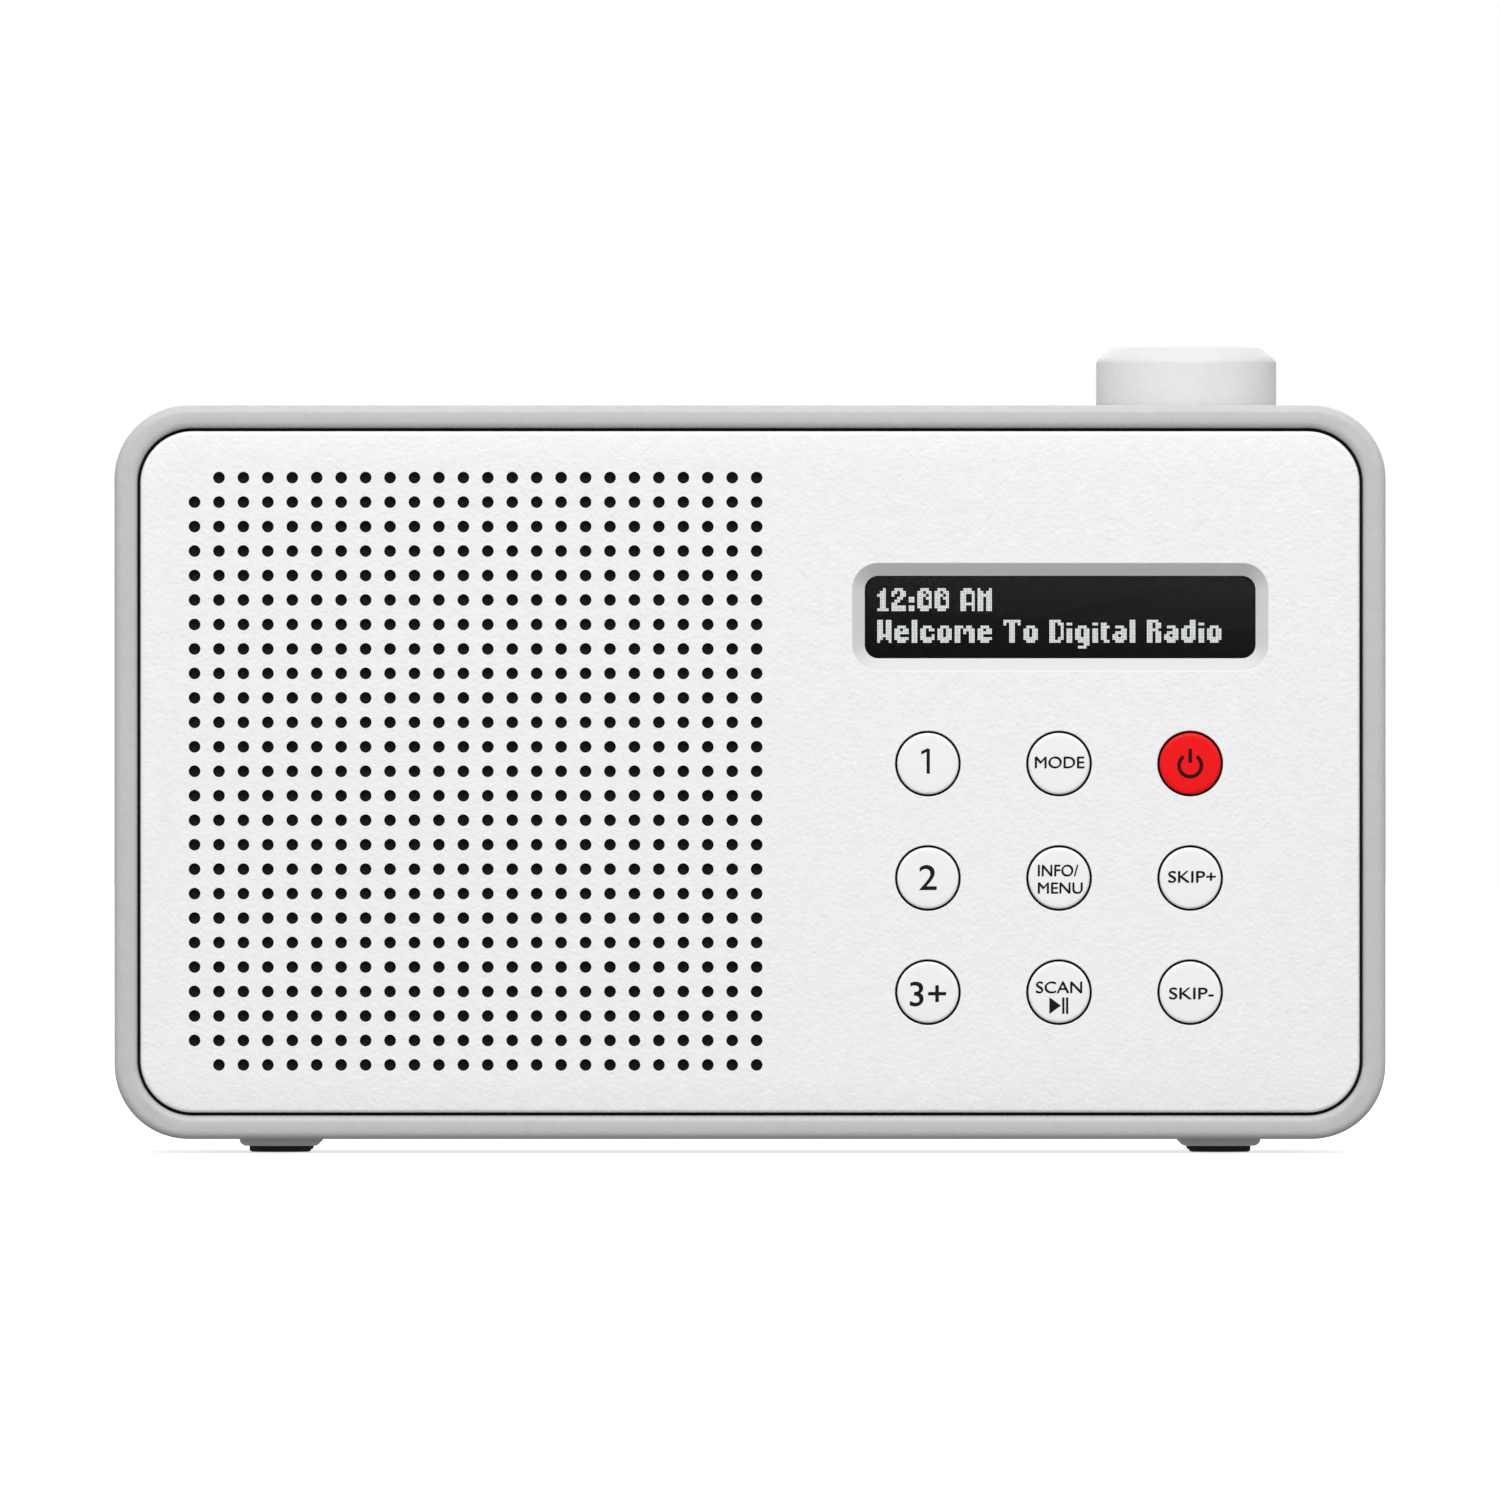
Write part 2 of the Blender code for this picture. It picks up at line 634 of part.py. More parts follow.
def make_grille_backing(root):
    """The cloth behind the grille and the black baffle that holds the loudspeaker."""
    cloth = (GRILLE_POCKET[0] - CLOTH_MARGIN, GRILLE_POCKET[1] - CLOTH_MARGIN)
    front = FACE + GRILLE_THICK + GAP
    low, high = panel_place(*cloth, GRILLE_X, GRILLE_Z, front, front + CLOTH_THICK)
    box_piece("grille_cloth", low, high, "cloth", root, corner=0.0035, segments=3)

    low, high = panel_place(*BAFFLE_SIZE, GRILLE_X, GRILLE_Z, BAFFLE_FRONT, BAFFLE_BACK)
    baffle = box_piece("speaker_baffle", low, high, "black_plastic", root, corner=0.003, segments=3)
    bosses = [
        ((x, BAFFLE_FRONT + GAP, z), (x, FLANGE_FRONT - GAP, z), BAFFLE_BOSS, BAFFLE_BOSS)
        for x, z in speaker_screw_places()
    ]
    join(baffle, rods("baffle_bosses", bosses, sides=12))
    bore = SPEAKER_BORE + 0.0010
    cut(baffle, rods("baffle_bore", [(
        (GRILLE_X, BAFFLE_FRONT - WALL, GRILLE_Z), (GRILLE_X, BAFFLE_BACK + WALL, GRILLE_Z),
        bore, bore,
    )], sides=40))
    pilots = [
        ((x, BAFFLE_FRONT - WALL, z), (x, FLANGE_FRONT + WALL, z), BAFFLE_PILOT, BAFFLE_PILOT)
        for x, z in speaker_screw_places()
    ]
    cut(baffle, rods("baffle_pilots", pilots, sides=10))


# ---- Loudspeaker ----------------------------------------------------------------------

def speaker_screw_places():
    offsets = (-SPEAKER_SCREW, SPEAKER_SCREW)
    return [(GRILLE_X + dx, GRILLE_Z + dz) for dz in offsets for dx in offsets]


def make_speaker(root):
    """Frame, cone, magnet and gasket of a 77 mm driver, about an axis along Y."""
    middle = (GRILLE_X, 0, GRILLE_Z)
    rear = FLANGE_BACK + BASKET_DEPTH
    plate = rear - BASKET_SHEET

    basket = turned("speaker_frame", [
        (0.0170, rear), (0.0338, FLANGE_BACK), (0.0338, FLANGE_FRONT), (SPEAKER_BORE, FLANGE_FRONT),
        (SPEAKER_BORE, FLANGE_BACK), (0.0158, plate), (0.0075, plate), (0.0075, rear),
    ], middle, "Y", "steel", root, steps=24, ring=True)
    low, high = panel_place(
        FLANGE_SIZE, FLANGE_SIZE, GRILLE_X, GRILLE_Z, FLANGE_FRONT, FLANGE_BACK
    )
    flange = box_tool("speaker_flange", low, high, corner=FLANGE_CORNER, segments=3)
    cut(flange, rods("flange_bore", [(
        (GRILLE_X, FLANGE_FRONT - WALL, GRILLE_Z), (GRILLE_X, FLANGE_BACK + WALL, GRILLE_Z),
        SPEAKER_BORE + BITE, SPEAKER_BORE + BITE,
    )], sides=32))
    join(basket, flange)
    holes = [
        ((x, FLANGE_FRONT - WALL, z), (x, FLANGE_BACK + WALL, z), FLANGE_HOLE, FLANGE_HOLE)
        for x, z in speaker_screw_places()
    ]
    cut(basket, rods("flange_holes", holes, sides=10))

    surround = [(0.0300, 0.0000), (0.0315, 0.0010)]      # radius, depth behind the front
    bowl = [(0, 0.0078), (0.0085, 0.0108)]
    edge = FLANGE_FRONT + 0.0004
    back = [(radius, edge + depth + CONE_SHEET) for radius, depth in bowl]
    roll = [(radius, edge + depth + 0.0008) for radius, depth in surround]
    front = [(radius, edge + depth) for radius, depth in bowl + surround]
    turned(
        "speaker_cone", back + roll + front[::-1], middle, "Y", "cone_paper", root, steps=24
    )

    turned("speaker_magnet", [
        (0, rear + MAGNET_DEPTH), (MAGNET_PLATE, rear + MAGNET_DEPTH),
        (MAGNET_PLATE, rear + MAGNET_DEPTH - 0.0020), (MAGNET_RADIUS, rear + MAGNET_DEPTH - 0.0020),
        (MAGNET_RADIUS, rear + 0.0025), (MAGNET_PLATE, rear + 0.0025),
        (MAGNET_PLATE, rear + GAP), (0, rear + GAP),
    ], middle, "Y", "ferrite", root, steps=24)

    inside, outside = GASKET_RADII
    turned("speaker_gasket", [
        (outside, FLANGE_FRONT - GAP), (outside, BAFFLE_BACK + GAP), (inside, BAFFLE_BACK + GAP),
        (inside, FLANGE_FRONT - GAP),
    ], middle, "Y", "foam", root, steps=24, ring=True)

    for number, (x, z) in enumerate(speaker_screw_places(), 1):
        head = FLANGE_BACK + GAP
        turned(f"speaker_screw_{number}", [
            (0, head + 0.0014), (0.0020, head + 0.0014), (0.0026, head + 0.0008), (0.0026, head),
            (0.0010, head), (0.0010, BAFFLE_FRONT + 0.0008), (0, BAFFLE_FRONT + 0.0004),
        ], (x, 0, z), "Y", "steel", root, steps=12)


# ---- Display and boards ---------------------------------------------------------------

def make_display(root):
    """Smoked window, display module and the frame that holds it to the panel."""
    window = [size + rebate - 2 * GAP for size, rebate in zip(DISPLAY_SIGHT, DISPLAY_REBATE)]
    front = FACE + DISPLAY_LIP + GAP
    low, high = panel_place(*window, DISPLAY_X, DISPLAY_Z, front, front + WINDOW_THICK)
    box_piece("display_window", low, high, "window_smoke", root, corner=0.0028, segments=3)
    width, depth, height = MODULE_SIZE
    front = PANEL_BACK + MODULE_GAP
    low, high = panel_place(width, height, DISPLAY_X, DISPLAY_Z, front, front + depth)
    box_piece("display_module", low, high, "display_glass", root)
    opening = (width + 2 * GAP, height + 2 * GAP)
    width, depth, height = HOLDER_SIZE
    low, high = panel_place(
        width, height, DISPLAY_X, DISPLAY_Z, PANEL_BACK + GAP, PANEL_BACK + depth
    )
    holder = box_piece("display_holder", low, high, "black_plastic", root, corner=0.0015, segments=2)
    low, high = panel_place(*opening, DISPLAY_X, DISPLAY_Z, PANEL_BACK - WALL, 0)
    cut(holder, box_tool("holder_opening", low, high))


def make_boards(root):
    """Control board with its nine switches, main board and screened tuner."""
    low = (BUTTON_COLUMNS[0] - BOARD_MARGIN, BOARD_FRONT, BUTTON_ROWS[-1] - BOARD_MARGIN)
    high = (BUTTON_COLUMNS[-1] + BOARD_MARGIN, BOARD_BACK, BUTTON_ROWS[0] + BOARD_TOP_MARGIN)
    board = box_piece("control_board", low, high, "circuit_board", root)
    places = [(x, z) for z in BUTTON_ROWS for x in BUTTON_COLUMNS]
    half, tip = SWITCH_HALF, BOARD_FRONT - PLUNGER_HEIGHT
    join(board, boxes("switch_bodies", [
        ((x - half, BOARD_FRONT - SWITCH_HEIGHT, z - half), (x + half, BOARD_FRONT + BITE, z + half))
        for x, z in places
    ]))
    join(board, rods("switch_plungers", [
        ((x, tip, z), (x, BOARD_FRONT - SWITCH_HEIGHT + GAP, z), SWITCH_PLUNGER, SWITCH_PLUNGER)
        for x, z in places
    ], sides=8))

    left, right, bottom, top = MAIN_BOARD
    main = box_piece(
        "main_board", (left, MAIN_FRONT, bottom), (right, MAIN_BACK, top), "circuit_board", root
    )
    seat = MAIN_FRONT + BITE
    left, right, bottom, top, height = MAIN_CHIP
    chips = [((left, MAIN_FRONT - height, bottom), (right, seat, top))]
    bottom, top = CAPACITOR_ROW
    for left, right in CAPACITORS:
        chips.append(((left, MAIN_FRONT - CAPACITOR_HEIGHT, bottom), (right, seat, top)))
    join(main, boxes("main_chips", chips))
    shield_back = MAIN_FRONT - GAP
    left, right, bottom, top = TUNER_SHIELD
    box_piece(
        "tuner_shield", (left, shield_back - SHIELD_HEIGHT, bottom), (right, shield_back, top),
        "steel", root, corner=0.0010, segments=2,
    )


def make_buttons(root):
    """Nine round push buttons, each on its own axis along Y."""
    back = PANEL_BACK + GAP
    collar, collar_thick = BUTTON_FLANGE
    stem = BOARD_FRONT - PLUNGER_HEIGHT - BUTTON_TRAVEL - BUTTON_SLACK
    for z, names in zip(BUTTON_ROWS, BUTTON_NAMES):
        for x, name in zip(BUTTON_COLUMNS, names):
            cap_front = FACE - BUTTON_PROUD
            rounded = quarter(BUTTON_RADIUS, 0, BUTTON_EDGE, 1)
            turned(name, [
                (0, stem), (BUTTON_STEM, stem), (BUTTON_STEM, back + collar_thick),
                (collar, back + collar_thick), (collar, back),
                (BUTTON_RADIUS, back),
                *[(radius, cap_front - level) for radius, level in reversed(rounded)],
                (0, cap_front),
            ], (x, 0, z), "Y", "power_red" if name == "button_power" else "button_white",
                root, steps=16)


# ---- Tuning knob ------------------------------------------------------------------------

def make_knob(root):
    """Rotary encoder under the top wall, with its nut, pressed plunger, shaft and knob."""
    axis = pivot("knob_axis", (KNOB_X, KNOB_Y, BODY_TOP), root)
    top = CEILING - GAP
    bore_floor = top - BORE_DEPTH
    half = ENCODER_HALF
    encoder = box_piece(
        "encoder_body", (KNOB_X - half, KNOB_Y - half, top - ENCODER_HEIGHT),
        (KNOB_X + half, KNOB_Y + half, top), "steel", root,
    )
    join(encoder, rods("bushing", [(
        (KNOB_X, KNOB_Y, top - BITE), (KNOB_X, KNOB_Y, WELL_FLOOR + BUSHING_HEIGHT),
        BUSHING_RADIUS, BUSHING_RADIUS,
    )]))
    cut(encoder, rods("encoder_bore", [(
        (KNOB_X, KNOB_Y, bore_floor), (KNOB_X, KNOB_Y, KNOB_TOP), ENCODER_BORE, ENCODER_BORE,
    )]))
    nut = piece(
        "encoder_nut", rod_mesh("encoder_nut", NUT_THICK, NUT_RADIUS, sides=6),
        (KNOB_X, KNOB_Y, WELL_FLOOR + GAP + NUT_THICK / 2), "nickel", root,
    )
    cut(nut, rods("nut_bore", [(
        (KNOB_X, KNOB_Y, WELL_FLOOR), (KNOB_X, KNOB_Y, BODY_TOP + WALL), NUT_BORE, NUT_BORE,
    )]))

    low, high = (bore_floor + level for level in PLUNGER_SPAN)
    turned("encoder_plunger", [
        (0, high), (PLUNGER_RADIUS, high), (PLUNGER_RADIUS, low), (0, low),
    ], (KNOB_X, KNOB_Y, 0), "Z", "black_plastic", axis, steps=16)
    shaft_top = KNOB_TOP - KNOB_ROOF
    turned("encoder_shaft", [
        (0, shaft_top), (SHAFT_RADIUS - SHAFT_CHAMFER, shaft_top),
        (SHAFT_RADIUS, shaft_top - SHAFT_CHAMFER), (SHAFT_RADIUS, high + GAP), (0, high + GAP),
    ], (KNOB_X, KNOB_Y, 0), "Z", "nickel", axis, steps=16)

    skirt = BODY_TOP - KNOB_SINK
    hollow = WELL_FLOOR + KNOB_HOLLOW
    inside = KNOB_RADIUS - KNOB_WALL
    rounded = quarter(KNOB_RADIUS, KNOB_TOP, KNOB_CHAMFER, 3)
    turned("tuning_knob", [
        (0, KNOB_TOP), *rounded, (KNOB_RADIUS, skirt), (inside, skirt), (inside, hollow),
        (KNOB_BORE, hollow), (KNOB_BORE, shaft_top + GAP), (0, shaft_top + GAP),
    ], (KNOB_X, KNOB_Y, 0), "Z", "knob_white", axis, steps=48)


# ---- Rear cover, battery bay and sockets ---------------------------------------------------

def make_rear_cover(root):
    """Rear cover with its antenna rest, vents, sockets' holes and battery opening."""
    low, high = panel_place(BODY_WIDTH, BODY_HEIGHT, 0, BODY_Z, COVER_FRONT, COVER_BACK)
    cover = box_piece(
        "rear_cover", low, high, "cabinet_grey", root, corner=CORNER, segments=8, back=COVER_ROUND
    )
    left, right = REST_SPAN
    rest_top = ANTENNA_Z - ANTENNA_TUBES[0][0] - GAP
    rest_back = ANTENNA_Y + 0.0020
    join(cover, boxes("antenna_rest", [(
        (left, COVER_BACK - 2 * BITE, rest_top - REST_THICK), (right, rest_back, rest_top),
    )]))
    join(cover, boxes("antenna_rest_lip", [(
        (left, rest_back - REST_THICK, rest_top - REST_LIP), (right, rest_back - 0.0001, rest_top),
    )]))
    opening = (DOOR_SIZE[0] + 2 * GAP, DOOR_SIZE[1] + 2 * GAP)
    cut(cover, box_tool(
        "door_opening",
        *panel_place(*opening, DOOR_X, DOOR_Z, COVER_FRONT - WALL, COVER_BACK + WALL),
        corner=0.0018, segments=2,
    ))
    cut(cover, rods("cover_holes", [
        ((x, COVER_FRONT - WALL, z), (x, COVER_BACK + WALL, z), PILOT_RADIUS, PILOT_RADIUS)
        for x, z in screw_places()
    ], sides=12))
    seat, bore = COVER_FRONT + COUNTERBORE_FLOOR, COUNTERBORE_RADIUS
    cut(cover, rods("cover_counterbores", [
        ((x, seat, z), (x, COVER_BACK + WALL, z), bore, bore) for x, z in screw_places()
    ], sides=16))
    cut(cover, rods("socket_holes", [
        ((x, COVER_FRONT - WALL, z), (x, COVER_BACK + WALL, z), radius + GAP, radius + GAP)
        for x, z, radius in (
            (DC_JACK_X, JACK_Z, DC_NOSE), (AUX_JACK_X, JACK_Z, AUX_NOSE),
            (ANTENNA_X, ANTENNA_Z, SWIVEL_NECK),
        )
    ], sides=20))
    bottom, top = VENT_SPAN
    vents = [VENT_FIRST + step * VENT_PITCH for step in range(VENT_COUNT)]
    cut(cover, boxes("vents", [
        ((x - VENT_HALF, COVER_FRONT - WALL, bottom), (x + VENT_HALF, COVER_BACK + WALL, top))
        for x in vents
    ]))
    pocket = [size + 2 * GAP for size in LABEL_SIZE]
    pocket_floor = COVER_BACK - LABEL_POCKET
    low, high = panel_place(*pocket, LABEL_X, LABEL_Z, pocket_floor, COVER_BACK + WALL)
    cut(cover, box_tool("label_pocket", low, high, corner=0.0012, segments=2))
    low, high = panel_place(
        *LABEL_SIZE, LABEL_X, LABEL_Z, pocket_floor + LABEL_SINK, COVER_BACK - LABEL_SINK
    )
    box_piece("rating_plate", low, high, "label", root, corner=0.0010, segments=2)

    for number, (x, z) in enumerate(screw_places(), 1):
        head = seat + GAP
        turned(f"case_screw_{number}", [
            (0, head + 0.0013), (0.0022, head + 0.0013), (0.0028, head + 0.0007), (0.0028, head),
            (0.0014, head), (0.0014, SLEEVE_REAR - 0.0120), (0, SLEEVE_REAR - 0.0130),
        ], (x, 0, z), "Y", "steel", root, steps=16)


def make_battery_bay(root):
    """Tray for four AA cells, its five contacts, and the door that tips off its tabs."""
    back = SLEEVE_REAR
    floor = back - BAY_DEPTH
    front = floor - BAY_SKIN
    outer = (BAY_SIZE[0] + 2 * BAY_SKIN, BAY_SIZE[1] + 2 * BAY_SKIN)
    low, high = panel_place(*outer, DOOR_X, DOOR_Z, front, back)
    tray = box_piece("battery_tray", low, high, "black_plastic", root)
    low, high = panel_place(*BAY_SIZE, DOOR_X, DOOR_Z, floor, back + WALL)
    cut(tray, box_tool("bay_room", low, high))
    half, height, reach = BAY_RIB
    ribs = [
        ((DOOR_X + step * CELL_PITCH - half, floor - BITE, DOOR_Z - reach),
         (DOOR_X + step * CELL_PITCH + half, floor + height, DOOR_Z + reach))
        for step in (-1, 0, 1)
    ]
    join(tray, boxes("bay_ribs", ribs))

    top = DOOR_Z + BAY_SIZE[1] / 2 - GAP
    bottom = DOOR_Z - BAY_SIZE[1] / 2 + GAP
    middle = floor + CELL_PITCH / 2
    cells = [DOOR_X + (step - 1.5) * CELL_PITCH for step in range(4)]
    bridges = (
        ("battery_bridge_top_left", cells[0], cells[1], top, -1, cells[1]),
        ("battery_bridge_top_right", cells[2], cells[3], top, -1, cells[3]),
        ("battery_bridge_bottom", cells[1], cells[2], bottom, 1, cells[2]),
        ("battery_contact_plus", cells[3], cells[3], bottom, 1, None),
        ("battery_contact_minus", cells[0], cells[0], bottom, 1, cells[0]),
    )
    low, high = (floor + level for level in CONTACT_SPAN)
    for name, left, right, wall, inward, spring in bridges:
        near, far = sorted((wall, wall + inward * CONTACT_THICK))
        plate = box_piece(
            name, (left - CONTACT_HALF, low, near), (right + CONTACT_HALF, high, far),
            "nickel", root,
        )
        if spring is not None:
            join(plate, rods(name + "_spring", [(
                (spring, middle, wall), (spring, middle, wall + inward * SPRING_LENGTH),
                *SPRING_RADII,
            )], sides=10))

    sill, head = DOOR_Z - DOOR_SIZE[1] / 2, DOOR_Z + DOOR_SIZE[1] / 2
    inner = COVER_BACK - DOOR_THICK
    axis = pivot("battery_door_axis", (DOOR_X, COVER_BACK, sill), root)
    low, high = panel_place(*DOOR_SIZE, DOOR_X, DOOR_Z, inner, COVER_BACK)
    door = box_piece(
        "battery_door", low, high, "cabinet_grey", axis, corner=DOOR_CORNER, segments=2
    )
    join(door, boxes("door_tabs", [
        ((x - DOOR_TAB_HALF, inner - DOOR_TAB_LENGTH, sill + GAP),
         (x + DOOR_TAB_HALF, inner + BITE, sill + DOOR_TAB_TOP))
        for x in (DOOR_X - DOOR_TAB_X, DOOR_X + DOOR_TAB_X)
    ]))
    bottom, top = (head - drop for drop in DOOR_LATCH_SPAN)
    join(door, boxes("door_latch", [(
        (DOOR_X - DOOR_LATCH_HALF, inner - DOOR_LATCH_LENGTH, bottom),
        (DOOR_X + DOOR_LATCH_HALF, inner + BITE, top),
    )]))
    notch = head - NOTCH_DROP
    cut(door, rods("door_finger_notch", [(
        (DOOR_X, COVER_BACK - NOTCH_DEPTH, notch), (DOOR_X, COVER_BACK + WALL, notch),
        NOTCH_RADIUS, NOTCH_RADIUS,
    )], sides=24))


def make_sockets(root):
    """Power inlet and auxiliary socket, soldered to the main board."""
    front = MAIN_BACK + GAP
    shoulder = COVER_FRONT - GAP
    nose_end = COVER_BACK - GAP
    for name, x, nose, bore, (half_width, half_height) in (
        ("power_inlet", DC_JACK_X, DC_NOSE, DC_BORE, DC_HALF),
        ("aux_socket", AUX_JACK_X, AUX_NOSE, AUX_BORE, AUX_HALF),
    ):
        socket = box_piece(
            name, (x - half_width, front, JACK_Z - half_height),
            (x + half_width, shoulder, JACK_Z + half_height), "black_plastic", root,
        )
        join(socket, rods(name + "_nose", [(
            (x, shoulder - 2 * BITE, JACK_Z), (x, nose_end, JACK_Z), nose, nose,
        )], sides=20))
        cut(socket, rods(name + "_bore", [(
            (x, nose_end - BORE_LENGTH, JACK_Z), (x, nose_end + WALL, JACK_Z), bore, bore,
        )], sides=16))
        if name == "power_inlet":
            join(socket, rods("inlet_pin", [(
                (x, nose_end - BORE_LENGTH - 2 * BITE, JACK_Z), (x, nose_end - PIN_SETBACK, JACK_Z),
                DC_PIN, DC_PIN,
            )], sides=10))


# ---- Antenna -----------------------------------------------------------------------------

def make_antenna(root):
    """Telescopic antenna: it swivels, folds out and pulls out, and lies along the back."""
    swivel_axis = pivot("antenna_swivel_axis", (ANTENNA_X, COVER_BACK, ANTENNA_Z), root)
    fold_axis = pivot("antenna_fold_axis", (ANTENNA_X, ANTENNA_Y, ANTENNA_Z), swivel_axis)
    disc = COVER_BACK + GAP
    disc_radius, disc_back = SWIVEL_DISC[0], disc + SWIVEL_DISC[1]
    flange_radius, flange_back = SWIVEL_FLANGE[0], COVER_FRONT - GAP
    flange_front = flange_back - SWIVEL_FLANGE[1]
    swivel = turned("antenna_swivel", [
        (0, disc_back), (disc_radius - SWIVEL_EDGE, disc_back),
        (disc_radius, disc_back - SWIVEL_EDGE), (disc_radius, disc), (SWIVEL_NECK, disc),
        (SWIVEL_NECK, flange_back), (flange_radius, flange_back), (flange_radius, flange_front),
        (0, flange_front),
    ], (ANTENNA_X, 0, ANTENNA_Z), "Y", "chrome", swivel_axis, steps=24)
    ear_in, ear_out = EAR_SPAN
    for side, name in ((-1, "lower_ear"), (1, "upper_ear")):
        near, far = sorted((side * ear_in, side * ear_out))
        join(swivel, boxes(name, [(
            (ANTENNA_X - EAR_HALF, disc_back - 0.0004, ANTENNA_Z + near),
            (ANTENNA_X + EAR_HALF, HALF_DEPTH, ANTENNA_Z + far),
        )]))
    hole = [(
        (ANTENNA_X, ANTENNA_Y, ANTENNA_Z - PIN_REACH), (ANTENNA_X, ANTENNA_Y, ANTENNA_Z + PIN_REACH),
        PIN_HOLE, PIN_HOLE,
    )]
    cut(swivel, rods("pin_hole", hole, sides=12))
    piece(
        "antenna_pin", rod_mesh("antenna_pin", 2 * ear_out, PIN_RADIUS, sides=12),
        (ANTENNA_X, ANTENNA_Y, ANTENNA_Z), "steel", swivel_axis,
    )

    collar = ANTENNA_X - COLLAR_SETBACK
    start = collar - COLLAR_LENGTH
    outer, inner = ANTENNA_TUBES[0]
    tube = antenna_tube("antenna_tube_1", outer, inner, start, ANTENNA_TUBE_LENGTH, fold_axis)
    join(tube, rods("antenna_root", [(
        (collar, ANTENNA_Y, ANTENNA_Z), (start - COLLAR_LENGTH, ANTENNA_Y, ANTENNA_Z), outer, outer,
    )]))
    half, thick = TONGUE_HALF, TONGUE_THICK
    join(tube, boxes("antenna_tongue", [(
        (collar - 2 * BITE, ANTENNA_Y - half, ANTENNA_Z - thick),
        (ANTENNA_X + half, ANTENNA_Y + half, ANTENNA_Z + thick),
    )]))
    cut(tube, rods("tongue_hole", hole, sides=12))

    for number, (outer, inner) in enumerate(ANTENNA_TUBES[1:], 2):
        near = start - COLLAR_LENGTH - 0.0006 - (number - 2) * SECTION_SETBACK
        far = start - ANTENNA_TUBE_LENGTH - (number - 1) * ANTENNA_STEP
        antenna_tube(f"antenna_tube_{number}", outer, inner, near, near - far, fold_axis)
    near = start - COLLAR_LENGTH - 3 * SECTION_SETBACK
    far = start - ANTENNA_TUBE_LENGTH - 3 * ANTENNA_STEP
    end = far - ANTENNA_TIP
    slim, wide = TIP_RADII
    turned("antenna_rod", [
        (0, near), (ANTENNA_ROD, near), (ANTENNA_ROD, far), (slim, far), (wide, far - TIP_EDGE),
        (wide, end + TIP_EDGE), (slim, end), (0, end),
    ], (0, ANTENNA_Y, ANTENNA_Z), "X", "chrome", fold_axis, steps=16)


def antenna_tube(name, outer, inner, near, length, parent):
    """An open tube along X, from near back to near - length."""
    far = near - length
    return turned(
        name, [(outer, near), (outer, far), (inner, far), (inner, near)],
        (0, ANTENNA_Y, ANTENNA_Z), "X", "chrome", parent, steps=16, ring=True,
    )


# ---- Wiring --------------------------------------------------------------------------------

def wire(name, route, radius, finish_name, parent, ribbon=0.0):
    """A lead on a smooth route. A ribbon is flat, and that half-width across."""
    curve = bpy.data.curves.new(name, "CURVE")
    curve.dimensions = "3D"
    curve.resolution_u = 5
    curve.bevel_depth = radius
    curve.bevel_resolution = 1
    curve.extrude = ribbon
    curve.use_fill_caps = True
    line = curve.splines.new("BEZIER")
    line.bezier_points.add(len(route) - 1)
    for point, place in zip(line.bezier_points, route):
        point.co = place
        point.handle_left_type = point.handle_right_type = "AUTO"
        point.tilt = pi / 2 if ribbon else 0.0
    curve.materials.append(finish(finish_name))
    made = bpy.data.objects.new(name, curve)
    PARTS.objects.link(made)
    hang(made, parent)
    return made


def make_wiring(root):
    """Leads between the loudspeaker, the control board and the main board."""
    wire("speaker_lead", [
        (-0.0120, -0.0195, 0.0400), (-0.0060, -0.0120, 0.0360), (0.0040, -0.0020, 0.0340),
        (0.0120, 0.0060, 0.0400), (0.0180, MAIN_FRONT - 0.0016, 0.0520),
    ], 0.0011, "grey_wire", root)
    rear, ribbon_x = BOARD_BACK, 0.0440
    wire("ribbon_cable", [
        (ribbon_x, rear + 0.0006, 0.0560), (ribbon_x, rear + 0.0060, 0.0545),
        (ribbon_x, -0.0040, 0.0500), (ribbon_x, 0.0050, 0.0550),
        (ribbon_x, MAIN_FRONT - 0.0010, 0.0600),
    ], 0.0003, "grey_wire", root, ribbon=0.0050)


def main():
    root = pivot("radio", (0, 0, 0))
    make_cabinet(root)
    make_feet(root)
    make_front_panel(root)
    make_grille_backing(root)
    make_speaker(root)
    make_display(root)
    make_boards(root)
    make_buttons(root)
    make_knob(root)
    make_rear_cover(root)
    make_battery_bay(root)
    make_sockets(root)
    make_antenna(root)
    make_wiring(root)
    bpy.context.view_layer.update()


main()
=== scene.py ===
"""Builds the finished look of the tabletop radio round its CAD frame."""

from math import atan2, cos, pi, radians, sin

import bmesh
import bpy
from bpy.props import FloatProperty, FloatVectorProperty, IntProperty, PointerProperty
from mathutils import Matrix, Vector


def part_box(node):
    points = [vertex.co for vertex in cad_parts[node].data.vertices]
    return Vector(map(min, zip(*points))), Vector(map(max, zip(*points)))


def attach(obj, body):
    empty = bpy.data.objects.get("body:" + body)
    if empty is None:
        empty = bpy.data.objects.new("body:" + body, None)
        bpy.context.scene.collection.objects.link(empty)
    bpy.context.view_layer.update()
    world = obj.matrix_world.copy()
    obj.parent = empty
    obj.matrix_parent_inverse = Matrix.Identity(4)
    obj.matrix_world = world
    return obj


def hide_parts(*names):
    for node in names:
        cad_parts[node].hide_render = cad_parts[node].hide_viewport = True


bl_info = {
    "name": "Tabletop Radio Maker",
    "version": (1, 0, 0),
    "blender": (4, 5, 0),
    "location": "View3D > Sidebar > Radio",
    "description": "Models the casing, controls, display and antenna of a tabletop radio",
    "category": "Add Mesh",
}

